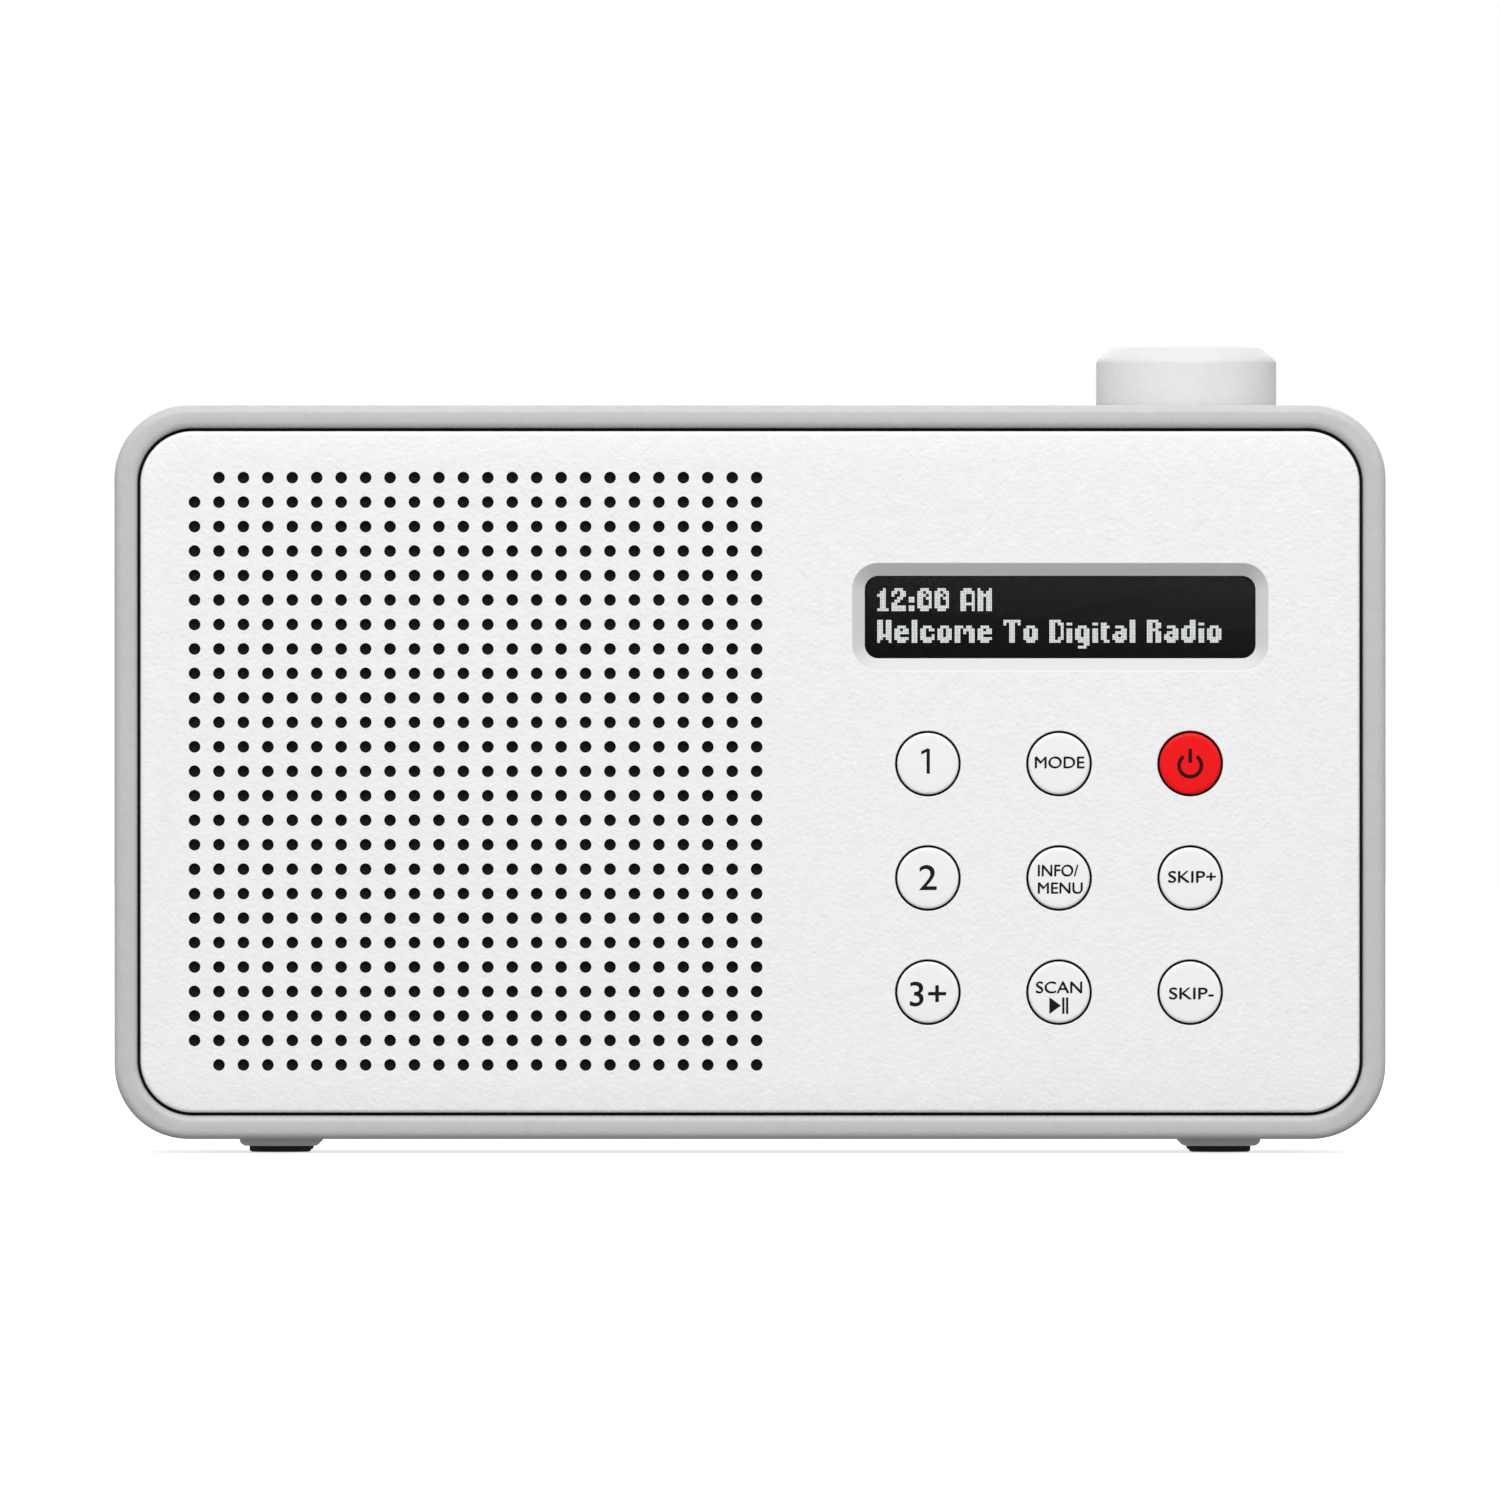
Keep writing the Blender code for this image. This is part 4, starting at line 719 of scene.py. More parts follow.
class RADIO_OT_front_panel(bpy.types.Operator):
    """White front with its field of grille holes, display recess and button holes"""

    bl_idname = "radio.front_panel"
    bl_label = "Front Panel"

    def execute(self, context):
        size = sizes()
        field_low, field_high = grille_field()
        low = Vector((PANEL_LOW.x, FACE, PANEL_LOW.z))
        high = Vector((PANEL_HIGH.x, PANEL_BACK, PANEL_HIGH.z))
        panel = slab("front_panel_shell", low, high, size.panel_corner, 24,
                     front=size.panel_round, rim_segments=5)
        for way in ((1, 0, 0), (0, 0, 1)):
            for place in (field_low, field_high):
                pick(panel, "FACE", lambda face: True)
                bpy.ops.mesh.bisect(plane_co=place, plane_no=way, threshold=LINK / 10)
                leave_edit()
        for node in BUTTONS:
            x, _, z = middle(node)
            reach = (CAP_RADIUS + size.button_gap) / MM
            carve(panel, turned("button_hole", profile(
                FACE, (reach + 0.20, -1), (reach + 0.20, -0.04), (reach + 0.05, 0.05),
                (reach, MOUTH_DEPTH / MM), (reach, 4)), (x, 0, z), "Y", 64))
        carve(panel, display_recess())
        window_low, window_high = box_of("display_window")
        spare = Vector((GAP, 0, GAP))
        carve(panel, slab(
            "rebate", Vector((window_low.x, FACE + JOIN_DEPTH, window_low.z)) - spare,
            Vector((window_high.x, PANEL_BACK + PAST, window_high.z)) + spare, 3 * MM, 6))
        join_grille(panel, field_low, field_high)
        for hook in panel_hooks():
            carve(panel, hook, "UNION")
        finished(panel, "cabinet", "panel_white", "front_panel", angle=24)
        paint_panel(panel)
        return {"FINISHED"}


def paint_panel(panel):
    """Painted shade: black on the panel's side walls in its shadow gap and on the walls of the
    button holes, and a darker white on the display's sloped frame.
    """
    size = sizes()
    window_low, window_high = box_of("display_window")

    def in_shaded_recess(face):
        place = face.calc_center_median()
        return (within(place, window_low, window_high, 3 * MM)
                and FACE + 0.06 * MM < place.y < PANEL_BACK - LINK and face.normal.y < -0.02)

    painted(panel, "recess_white", in_shaded_recess)
    centres = [(middle(node).x, middle(node).z) for node in BUTTONS]
    reach = CAP_RADIUS + size.button_gap + 0.1 * MM
    corner, rounded = size.panel_corner, size.panel_round

    # Painted shade: black_plastic on the panel's side walls behind its rounding and on the button
    # holes' walls past their mouths, where the gaps lie in shade
    def in_shadow(face):
        place = face.calc_center_median()
        if abs(face.normal.y) > 0.5 or not FACE < place.y < PANEL_BACK + LINK:
            return False
        outside = (min(place.x - PANEL_LOW.x, PANEL_HIGH.x - place.x) < LINK
                   or min(place.z - PANEL_LOW.z, PANEL_HIGH.z - place.z) < LINK
                   or corner_reach(place, corner) > corner - 20 * LINK)
        if outside:
            return place.y > FACE + rounded + LINK
        return place.y > FACE + MOUTH_DEPTH and any(
            Vector((place.x - x, place.z - z)).length < reach for x, z in centres)

    painted(panel, "black_plastic", in_shadow)


def corner_reach(place, radius):
    """Distance from the centre of the nearest rounded corner, or 0 away from the corners."""
    out_x = max(PANEL_LOW.x + radius - place.x, place.x - PANEL_HIGH.x + radius)
    out_z = max(PANEL_LOW.z + radius - place.z, place.z - PANEL_HIGH.z + radius)
    return Vector((out_x, out_z)).length if out_x > 0 and out_z > 0 else 0.0


def display_recess():
    """Cutter of the display's recess: a soft mouth, four slopes and a straight throat."""
    size = sizes()
    centre = middle("display_window")
    lip, slope = 0.16 * MM, 2.05 * MM
    half_x, half_z = 34.25 * MM + lip, 8.85 * MM + lip
    start = FACE - 0.05 * MM
    cutter = slab("recess", (centre.x - half_x, FACE - PAST, centre.z - half_z),
                  (centre.x + half_x, start, centre.z + half_z), 4.3 * MM + lip, 12)
    pick(cutter, "FACE", lambda face: at_level(face, 1, start))
    for thickness, depth in ((lip, 0.11 * MM), (slope, size.recess_slope - 0.06 * MM)):
        bpy.ops.mesh.inset(thickness=thickness, depth=depth)
    bpy.ops.mesh.extrude_region_move(
        TRANSFORM_OT_translate={"value": (0, PANEL_THICK, 0)})
    leave_edit()
    return cutter


def panel_hooks():
    """Snap hooks behind the panel, which hold it to the cabinet's ledge."""
    centre_z = (PANEL_LOW.z + PANEL_HIGH.z) / 2
    half = (PANEL_HIGH.z - PANEL_LOW.z) / 2 - 3.55 * MM
    back = PANEL_HIGH.y
    arm = (4 * MM, 0.6, 1.8, PANEL_BACK - BITE, back)
    nose = (3.7 * MM, 0.7, -1.0, back - 1.3 * MM, back - 0.1 * MM)
    hooks = []
    for x in (-64 * MM, 0, 64 * MM):
        for side in (-1, 1):
            for wide, start, end, low_y, high_y in (arm, nose):
                near, far = sorted(side * (half - level * MM) for level in (start, end))
                hooks.append(block("hook", (x - wide, low_y, centre_z + near),
                                   (x + wide, high_y, centre_z + far)))
    return hooks


def join_grille(panel, low, high):
    """Opens the panel where the grille goes and welds the sheet of holes in."""
    size = sizes()

    def in_field(element):
        return all(within(vert.co, low, high) for vert in element.verts)

    for level in (FACE, PANEL_BACK):
        pick(panel, "FACE", lambda face: in_field(face) and at_level(face, 1, level))
        bpy.ops.mesh.delete(type="ONLY_FACE")
        leave_edit()
    for axis, cells in ((0, size.columns), (2, size.rows)):
        pick(panel, "EDGE", lambda edge: in_field(edge) and runs_along(edge, axis))
        bpy.ops.mesh.subdivide(number_cuts=cells * SIDE_PARTS - 1)
        leave_edit()
    pick(panel, "EDGE", lambda edge: in_field(edge) and at_level(edge, 1, PANEL_BACK))
    bpy.ops.mesh.extrude_region_move(
        TRANSFORM_OT_translate={"value": (0, size.grille_thick - PANEL_THICK, 0)})
    leave_edit()
    merged("front_panel_shell", [panel, grille_sheet()])
    tidy_mesh(panel)


# ---- Loudspeaker cloth -----------------------------------------------------------------------

class RADIO_OT_cloth(bpy.types.Operator):
    """Black woven cloth stretched behind the grille"""

    bl_idname = "radio.cloth"
    bl_label = "Grille Cloth"

    def execute(self, context):
        low, high = box_of("grille_cloth")
        centre = (low + high) / 2
        span = high - low
        clear_selection()
        bpy.ops.mesh.primitive_grid_add(
            x_subdivisions=24, y_subdivisions=24, size=1, location=centre, rotation=(pi / 2, 0, 0))
        bpy.context.object.scale = (span.x, span.z, 1)
        cloth = added("woven_cloth")
        thick = cloth.modifiers.new("thickness", "SOLIDIFY")
        thick.thickness = 0.3 * MM
        thick.offset = 0
        bpy.ops.object.modifier_apply(modifier=thick.name)
        finished(cloth, "cabinet", "cloth", "grille_cloth")
        return {"FINISHED"}


# ---- Display -----------------------------------------------------------------------------

GLYPHS = {
    "1": "..# .## ### .## .## .## .## ####",
    "2": ".### ##.## #..## ..##. .## ## ##### #####",
    ":": "... ... ... ## ## ... ## ##",
    "0": ".### ##.## ###.# ##.## ##..# ##..# ##### .###",
    "A": ".### ##### ##..# ##..# ##..# ##### ##..# ##..#",
    "M": "#...# ##.## ##### ##.## ##.## ##.## ##.## ##.##",
    "W": "##.## ##.## ##.## ##.## ##.## ##### ##.## #...#",
    "e": ". . .### ##.## ##### ## ##### .###",
    "l": "## ## ## ## ## ## ## ##",
    "c": ". . .### ##.## ## ##..# ##### .###",
    "o": ". . .### ##.## ##.## ##.## ##### .###",
    "m": ". . ###.## ##.#### ##.#.## ##...## ##...## ##...##",
    "T": "###### #.##.# ..## ..## ..## ..## ..## ..##",
    "D": "#### ##.## ##..# ##..# ##..# ##..# ##.## ####",
    "i": ". ## . ## ## ## ## ##",
    "g": ". . .### ##.## ##.## ##.## ##### .#### ...## .###",
    "t": ". ## ### ## ## ## ## .##",
    "a": ". . .### ...## .#### ##.## ##### .###",
    "R": "#### ##.## ##.## #### ##.## ##.## ##.## ##.##",
    "d": "...## ...## .#### ##.## ##.## ##.## ##### .###",
}
LINES = ("12:00 AM", "Welcome To Digital Radio")
LINE_STEP = 11                  # rows from one line of text to the next
WORD_GAP = 3                    # columns of a space
DOTS = 2                        # dots each way in one cell of a letter


def lit_cells():
    """(column, row) of every lit cell, counted from the text's upper left corner."""
    cells = set()
    for number, words in enumerate(LINES):
        column = 0
        for letter in words:
            if letter == " ":
                column += WORD_GAP
                continue
            rows = GLYPHS[letter].split()
            for row, pattern in enumerate(rows):
                for step, mark in enumerate(pattern):
                    if mark == "#":
                        cells.add((column + step, row + number * LINE_STEP))
            column += max(len(row.rstrip(".")) for row in rows) + 1
    return cells


class RADIO_OT_display(bpy.types.Operator):
    """Smoked window over a dot display that shows the time and a greeting"""

    bl_idname = "radio.display"
    bl_label = "Display"

    def execute(self, context):
        low, high = box_of("display_window")
        window = slab("smoked_window", low, high, 2.8 * MM, 8, front=0.15 * MM, rim_segments=2)
        finished(window, "cabinet", "window_smoke", "display_window")

        low, high = box_of("display_module")
        module = slab("display_glass", low, high, 0.6 * MM, 3)
        pick(module, "FACE", lambda face: at_level(face, 1, low.y))
        bpy.ops.mesh.inset(thickness=1.2 * MM, depth=0)
        bpy.ops.mesh.inset(thickness=0.1 * MM, depth=-0.12 * MM)
        leave_edit()
        finished(module, "cabinet", "display_glass", "display_module")

        cells = lit_cells()
        columns = max(column for column, row in cells) + 1
        rows = max(row for column, row in cells) + 1
        cell = sizes().display_cell
        left = middle("display_window").x - sizes().text_left
        top = middle("display_window").z + sizes().text_top
        width, height = columns * cell, rows * cell
        clear_selection()
        bpy.ops.mesh.primitive_grid_add(
            x_subdivisions=columns * DOTS, y_subdivisions=rows * DOTS, size=1,
            location=(left + width / 2, low.y, top - height / 2), rotation=(pi / 2, 0, 0))
        bpy.context.object.scale = (width, height, 1)
        dots = added("display_dots")

        def dark(face):
            place = face.calc_center_median()
            return (int((place.x - left) / cell), int((top - place.z) / cell)) not in cells

        pick(dots, "FACE", dark)
        bpy.ops.mesh.delete(type="FACE")
        leave_edit()
        pick(dots, "FACE", lambda face: True)
        bpy.ops.mesh.inset(thickness=cell / DOTS * 0.11, use_individual=True)
        bpy.ops.mesh.select_all(action="INVERT")
        bpy.ops.mesh.delete(type="FACE")
        bpy.ops.mesh.select_all(action="SELECT")
        raised(0.05 * MM)
        finished(dots, "cabinet", "lit_dots", slot="display_glass")
        return {"FINISHED"}


# ---- Buttons -----------------------------------------------------------------------------

INK = 0.02 * MM                 # thickness of a printed layer


def lettering(name, words, width, height, centre, face, rear=False):
    """Printed words in a box of this width and height about centre, an (x, z) pair."""
    clear_selection()
    bpy.ops.object.text_add()
    text = bpy.context.object
    text.data.body = words
    text.data.resolution_u = 4
    text.data.extrude = depth = 0.005
    only(text)
    bpy.ops.object.convert(target="MESH")
    made = bpy.context.object
    made.name = made.data.name = name
    pick(made, "VERT", lambda vert: True)
    bpy.ops.mesh.remove_doubles(threshold=0.0001)
    bpy.ops.mesh.normals_make_consistent(inside=False)
    leave_edit()
    xs, ys, _ = zip(*(vert.co for vert in made.data.vertices))
    made.location = (-(min(xs) + max(xs)) / 2, -(min(ys) + max(ys)) / 2, 0)
    only(made)
    bpy.ops.object.transform_apply(location=True)
    made.scale = (width / (max(xs) - min(xs)), height / (max(ys) - min(ys)), INK / depth)
    made.rotation_euler = (pi / 2, 0, pi if rear else 0)
    made.location = (centre[0], face, centre[1])
    only(made)
    bpy.ops.object.transform_apply(location=True, rotation=True, scale=True)
    return made


def figure_one(centre, face):
    """The figure 1: an upright stem with a slanted flag at its head."""
    stroke, height, lean = 0.54 * MM, 4.1 * MM, 0.55 * MM
    right = centre[0] + 0.62 * MM
    foot, top = centre[1] - height / 2, centre[1] + height / 2
    stem = block("stem", (right - stroke, face - INK, foot), (right, face, top))
    flag = block("flag", (right - stroke / 2 - 1.15 * MM, face - INK * 0.98, top - 0.95 * MM),
                 (right - stroke / 2, face, top - 0.95 * MM + stroke))
    pick(flag, "VERT", lambda vert: vert.co.x > right - stroke)
    bpy.ops.transform.translate(value=(0, 0, lean))
    leave_edit()
    return merged("one", [stem, flag])


def power_mark(name, centre, face):
    """A ring open at the top, with an upright bar in the opening."""
    outer, stroke, gap = 2.15 * MM, 0.62 * MM, radians(36)
    middle_z = centre[1] - 0.3 * MM
    clear_selection()
    bpy.ops.mesh.primitive_circle_add(
        vertices=60, radius=outer - stroke, location=(centre[0], face, middle_z),
        rotation=(pi / 2, 0, 0))
    ring = added("power_ring")
    pick(ring, "VERT", lambda vert: abs(
        atan2(vert.co.x - centre[0], vert.co.z - middle_z)) < gap)
    bpy.ops.mesh.delete(type="VERT")
    leave_edit()
    pick(ring, "EDGE", lambda edge: True)
    bpy.ops.mesh.extrude_region_move()
    factor = outer / (outer - stroke)
    bpy.ops.transform.resize(
        value=(factor, 1, factor), center_override=(centre[0], face, middle_z))
    bpy.ops.mesh.select_all(action="SELECT")
    raised(INK)
    bar = block(
        "power_bar", (centre[0] - stroke / 2, face - INK, middle_z + 0.45 * MM),
        (centre[0] + stroke / 2, face, middle_z + 2.75 * MM))
    return merged(name, [ring, bar])


def play_mark(name, centre, face):
    """A triangle and two upright bars."""
    x, z = centre[0] - 0.1 * MM, centre[1] - 2.2 * MM
    clear_selection()
    bpy.ops.mesh.primitive_circle_add(
        vertices=3, radius=MM, fill_type="NGON", location=(x, face, z), rotation=(pi / 2, 0, 0))
    triangle = added("play_triangle")
    shape = ((-1.5, 1.4), (0.4, 0), (-1.5, -1.4))
    for corner, (dx, dz) in zip(triangle.data.vertices, shape):
        corner.co = (x + dx * MM, face, z + dz * MM)
    pick(triangle, "FACE", lambda element: True)
    raised(INK)
    bars = [
        block("play_bar", (x + dx * MM, face - INK, z - 1.35 * MM),
              (x + (dx + 0.37) * MM, face, z + 1.35 * MM))
        for dx in (0.62, 1.25)
    ]
    return merged(name, [triangle, *bars])


LEGENDS = {                     # words, width, height, and place from the cap's middle, in mm
    "button_one": [],
    "button_mode": [("MODE", 8.2, 2.0, 0.1, 0.2)],
    "button_two": [("2", 2.9, 4.15, 0.0, 0.1)],
    "button_menu": [("INFO/", 6.7, 2.0, -0.15, 1.24), ("MENU", 7.4, 1.9, 0.2, -1.65)],
    "button_skip_up": [("SKIP+", 7.9, 2.0, 0.3, 0.2)],
    "button_three": [("3+", 6.0, 4.1, 0.0, -0.3)],
    "button_scan": [("SCAN", 7.65, 2.0, 0.0, 0.8)],
    "button_skip_down": [("SKIP-", 7.4, 2.0, 0.2, -0.2)],
}


class RADIO_OT_buttons(bpy.types.Operator):
    """Nine round push buttons with their printed legends"""

    bl_idname = "radio.buttons"
    bl_label = "Buttons"

    def execute(self, context):
        low, high = box_of(BUTTONS[0])
        face, back = low.y, PANEL_BACK + GAP
        place = middle(BUTTONS[0])
        pattern = turned("button_pattern", [
            *profile(face, (2.2, 0), (4.0, 0.01)),
            *rounding(CAP_RADIUS, face + 0.02 * MM, 0.42 * MM, 5), (CAP_RADIUS, back),
            *profile(back, (6.15, 0), (6.2, 0.1), (6.2, 0.8), (1.6, 0.8)),
            *profile(high.y, (1.6, -0.2), (1.4, 0)),
        ], (place.x, 0, place.z), "Y", 64)

        # Painted shade: the cap's side below its rounded edge, its flange and stem get
        # black_plastic, so the ring gap round the button reads dark
        def in_cap_shade(element):
            depth = element.calc_center_median().y
            return depth > face + 0.55 * MM and element.normal.y > -0.9 or depth > back - LINK

        for node, cap in copies(pattern, BUTTONS, "button", "cap"):
            look = "power_red" if node == "button_power" else "button_white"
            finished(cap, node, look, node, angle=30)
            painted(cap, "black_plastic", in_cap_shade)

        printed, strike = face + 0.004 * MM, 0.09        # struck twice, this far apart in mm
        for node, lines in LEGENDS.items():
            x, _, z = middle(node)
            pieces = [
                lettering("line", words, (width - strike) * MM, (height - strike) * MM,
                          (x + (dx + shift) * MM, z + (dz + shift) * MM), printed - lift)
                for words, width, height, dx, dz in lines
                for shift, lift in ((-strike / 2, 0), (strike / 2, 0.003 * MM))
            ]
            if node == "button_one":
                pieces.append(figure_one((x - 0.3 * MM, z + 0.4 * MM), printed))
            if node == "button_scan":
                pieces.append(play_mark("play", (x, z), printed))
            legend = merged(node.replace("button", "legend"), pieces)
            finished(legend, node, "legend_ink", slot="black_plastic")
        x, _, z = middle("button_power")
        mark = power_mark("legend_power", (x, z), printed)
        finished(mark, "button_power", "power_ink", slot="black_plastic")
        return {"FINISHED"}


# ---- Knob and feet -------------------------------------------------------------------------

class RADIO_OT_knob(bpy.types.Operator):
    """Tuning knob with a rounded shoulder and a dished top"""

    bl_idname = "radio.knob"
    bl_label = "Tuning Knob"

    def execute(self, context):
        low, high = box_of("tuning_knob")
        place = middle("tuning_knob")
        radius = half_width("tuning_knob") / MM
        shoulder = [(radius - inward, -down) for inward, down in (
            (3.15, 0.0), (2.85, 0.03), (2.6, 0.12), (2.35, 0.28), (0.75, 1.62), (0.45, 1.90),
            (0.2, 2.2), (0.05, 2.5), (0.0, 2.8))]
        knob = turned("knob_cap", [
            *profile(high.z, (4, -0.12), (9.5, -0.05), *shoulder),
            *profile(low.z, (radius, 0.25), (radius - 0.2, 0), (radius - 2, 0), (radius - 2, 4.6),
                     (3.3, 4.6)),
            *profile(high.z, (3.3, -1.9)),
        ], (place.x, place.y, 0), "Z", 96)
        finished(knob, "knob", "knob_white", "tuning_knob", angle=24)
        return {"FINISHED"}


class RADIO_OT_feet(bpy.types.Operator):
    """Four black rubber pads in the cabinet's foot bosses"""

    bl_idname = "radio.feet"
    bl_label = "Feet"

    def execute(self, context):
        low, high = box_of(FEET[0])
        place = middle(FEET[0])
        radius = half_width(FEET[0]) / MM
        pattern = turned("pad_pattern", [
            *profile(high.z, (radius - 0.2, 0), (radius, -0.2)),
            *profile(low.z, (radius, 0.45), (radius - 0.12, 0.14), (radius - 0.45, 0),
                     (radius - 1.3, 0), (radius - 1.5, 0.2), (radius - 2.3, 0.2),
                     (radius - 2.5, 0), (1, 0)),
        ], (place.x, place.y, 0))
        for node, pad in copies(pattern, FEET, "foot", "pad"):
            finished(pad, "cabinet", "rubber", node)
        return {"FINISHED"}


# ---- Rear cover, door, screws and sockets ----------------------------------------------------

SOCKETS = {"power_inlet": (4.0, 3.0), "aux_socket": (2.9, 1.8)}    # radii of nose and bore, mm
VENTS = 13
VENT_FIRST, VENT_PITCH = -69 * MM, 5 * MM
VENT_LOW, VENT_HIGH = 86 * MM, 98 * MM
MAST_RADIUS = 2.6 * MM


class RADIO_OT_rear_cover(bpy.types.Operator):
    """Rear cover with its vents, battery opening, screw wells, sockets' holes and antenna rest"""

    bl_idname = "radio.rear_cover"
    bl_label = "Rear Cover"

    def execute(self, context):
        low = COVER_LOW
        high = Vector((COVER_HIGH.x, COVER_BACK, COVER_HIGH.z))
        start, end = low.y - PAST, high.y + PAST
        cover = slab("cover_shell", low, high, sizes().corner, 24, back=1.6 * MM, rim_segments=6)
        door_low, door_high = box_of("battery_door")
        carve(cover, slab("door_opening", (door_low.x - GAP, start, door_low.z - GAP),
                          (door_high.x + GAP, end, door_high.z + GAP), 1.8 * MM, 5))
        holes = [(node, [*profile(low.y, (1.7, -1), (1.7, 1.4), (3.2, 1.4)),
                         *profile(high.y, (3.2, -0.2), (3.6, 0.2), (3.6, 1))]) for node in SCREWS]
        for node, (nose, _) in SOCKETS.items():
            holes.append((node, [*profile(low.y, (nose + 0.3, -1)), *profile(
                high.y, (nose + 0.3, -0.5), (nose + 1, 0.2), (nose + 1, 1))]))
        holes.append(("antenna_swivel", [(3.3 * MM, start), (3.3 * MM, end)]))
        for node, rings in holes:
            x, _, z = middle(node)
            carve(cover, turned("hole", rings, (x, 0, z), "Y", 40))
        vents = [
            slab("vent", (x - 0.8 * MM, start, VENT_LOW), (x + 0.8 * MM, end, VENT_HIGH),
                 0.75 * MM, 4)
            for x in (VENT_FIRST + VENT_PITCH * step for step in range(VENTS))
        ]
        carve(cover, merged("vents", vents))
        plate_low, plate_high = box_of("rating_plate")
        carve(cover, slab(
            "plate_pocket", (plate_low.x - GAP, high.y - 0.4 * MM, plate_low.z - GAP),
            (plate_high.x + GAP, end, plate_high.z + GAP), 1.2 * MM, 4))
        carve(cover, antenna_rest(high.y), "UNION")
        tidy_mesh(cover)
        finished(cover, "cabinet", "cabinet_grey", "rear_cover")

        plate = slab("blank_plate", plate_low, plate_high, 1.4 * MM, 5)
        back = plate_high.y
        pick(plate, "FACE", lambda face: at_level(face, 1, back))
        bpy.ops.mesh.inset(thickness=0.6 * MM, depth=0)
        bpy.ops.mesh.inset(thickness=0.08 * MM, depth=-0.05 * MM)
        bpy.ops.mesh.inset(thickness=0.2 * MM, depth=0)
        leave_edit()
        finished(plate, "cabinet", "label", "rating_plate")

        words = (
            ("DC IN", 8.0, 1.9, middle("power_inlet"), 7.6, high.y),
            ("AUX", 5.4, 1.9, middle("aux_socket"), 7.6, high.y),
            ("4 x AA", 9.4, 2.1, middle("rating_plate"), 5.5, back),
        )
        legend = merged("rear_legends", [
            lettering("line", text, width * MM, height * MM, (place.x, place.z + lift * MM), level,
                      rear=True)
            for text, width, height, place, lift, level in words
        ])
        finished(legend, "cabinet", "legend_ink", slot="black_plastic")
        return {"FINISHED"}


def antenna_rest(back):
    """Clip under the folded mast: an arm out of the cover with an upturned lip."""
    mast = middle("antenna_tube_1")
    top = mast.z - MAST_RADIUS - GAP
    low_x, high_x = -40 * MM, -32 * MM
    arm = block("rest_arm", (low_x, back - MM, top - 1.5 * MM), (high_x, mast.y + 1.2 * MM, top))
    round_off(arm, lambda edge: runs_along(edge, 1), 0.4 * MM, 3)
    lip = block(
        "rest_lip", (low_x + 0.3 * MM, mast.y + 0.5 * MM, top - 4.0 * MM),
        (high_x - 0.3 * MM, mast.y + 1.9 * MM, top - 0.2 * MM))
    round_off(lip, lambda edge: runs_along(edge, 0), 0.35 * MM, 3)
    return carve(arm, lip, "UNION")


class RADIO_OT_battery_door(bpy.types.Operator):
    """Battery door with its tabs, latch, finger notch and grip ribs"""

    bl_idname = "radio.battery_door"
    bl_label = "Battery Door"

    def execute(self, context):
        low, high = box_of("battery_door")
        inner = high.y - 2.0 * MM
        centre_x = (low.x + high.x) / 2
        door = slab("door_leaf", (low.x, inner, low.z), high, 1.5 * MM, 5, back=0.25 * MM,
                    rim_segments=3)
        for x in (centre_x - 18 * MM, centre_x + 18 * MM):
            carve(door, block("tab", (x - 4 * MM, inner - 2.6 * MM, low.z + 0.3 * MM),
                              (x + 4 * MM, inner + BITE, low.z + 1.6 * MM)), "UNION")
        carve(door, block("latch", (centre_x - 6 * MM, inner - 2.0 * MM, high.z - 2.2 * MM),
                          (centre_x + 6 * MM, inner + BITE, high.z - 1.0 * MM)), "UNION")
        notch_z = high.z - 6 * MM
        carve(door, turned(
            "notch", profile(high.y, (4.2, -1.0), (4.8, -0.7), (5.1, 0), (5.2, 1)),
            (centre_x, 0, notch_z), "Y", 48))
        for step in range(5):
            z = notch_z - (9 + 2.2 * step) * MM
            half = (9 - 1.1 * step) * MM
            carve(door, slab("groove", (centre_x - half, high.y - 0.4 * MM, z - 0.4 * MM),
                             (centre_x + half, high.y + PAST, z + 0.4 * MM), 0.38 * MM, 4))
        tidy_mesh(door)
        finished(door, "battery_door", "cabinet_grey", "battery_door")
        return {"FINISHED"}


class RADIO_OT_screws(bpy.types.Operator):
    """Four cross-head case screws"""

    bl_idname = "radio.screws"
    bl_label = "Case Screws"

    def execute(self, context):
        low, high = box_of(SCREWS[0])
        place = middle(SCREWS[0])
        pattern = turned("screw_pattern", profile(low.y, (1, 0), (1.4, 1)) + profile(
            high.y, (1.4, -1.3), (2.8, -1.3), (2.8, -0.7), (2.6, -0.35), (2.1, -0.1), (1.2, 0)),
            (place.x, 0, place.z), "Y", 32)
        for wide, tall in ((1.55 * MM, 0.3 * MM), (0.3 * MM, 1.55 * MM)):
            carve(pattern, block(
                "cross", (place.x - wide, high.y - 0.9 * MM, place.z - tall),
                (place.x + wide, high.y + PAST, place.z + tall)))
        tidy_mesh(pattern)
        for node, screw in copies(pattern, SCREWS, "case", "cross"):
            finished(screw, "cabinet", "steel", node)
        return {"FINISHED"}


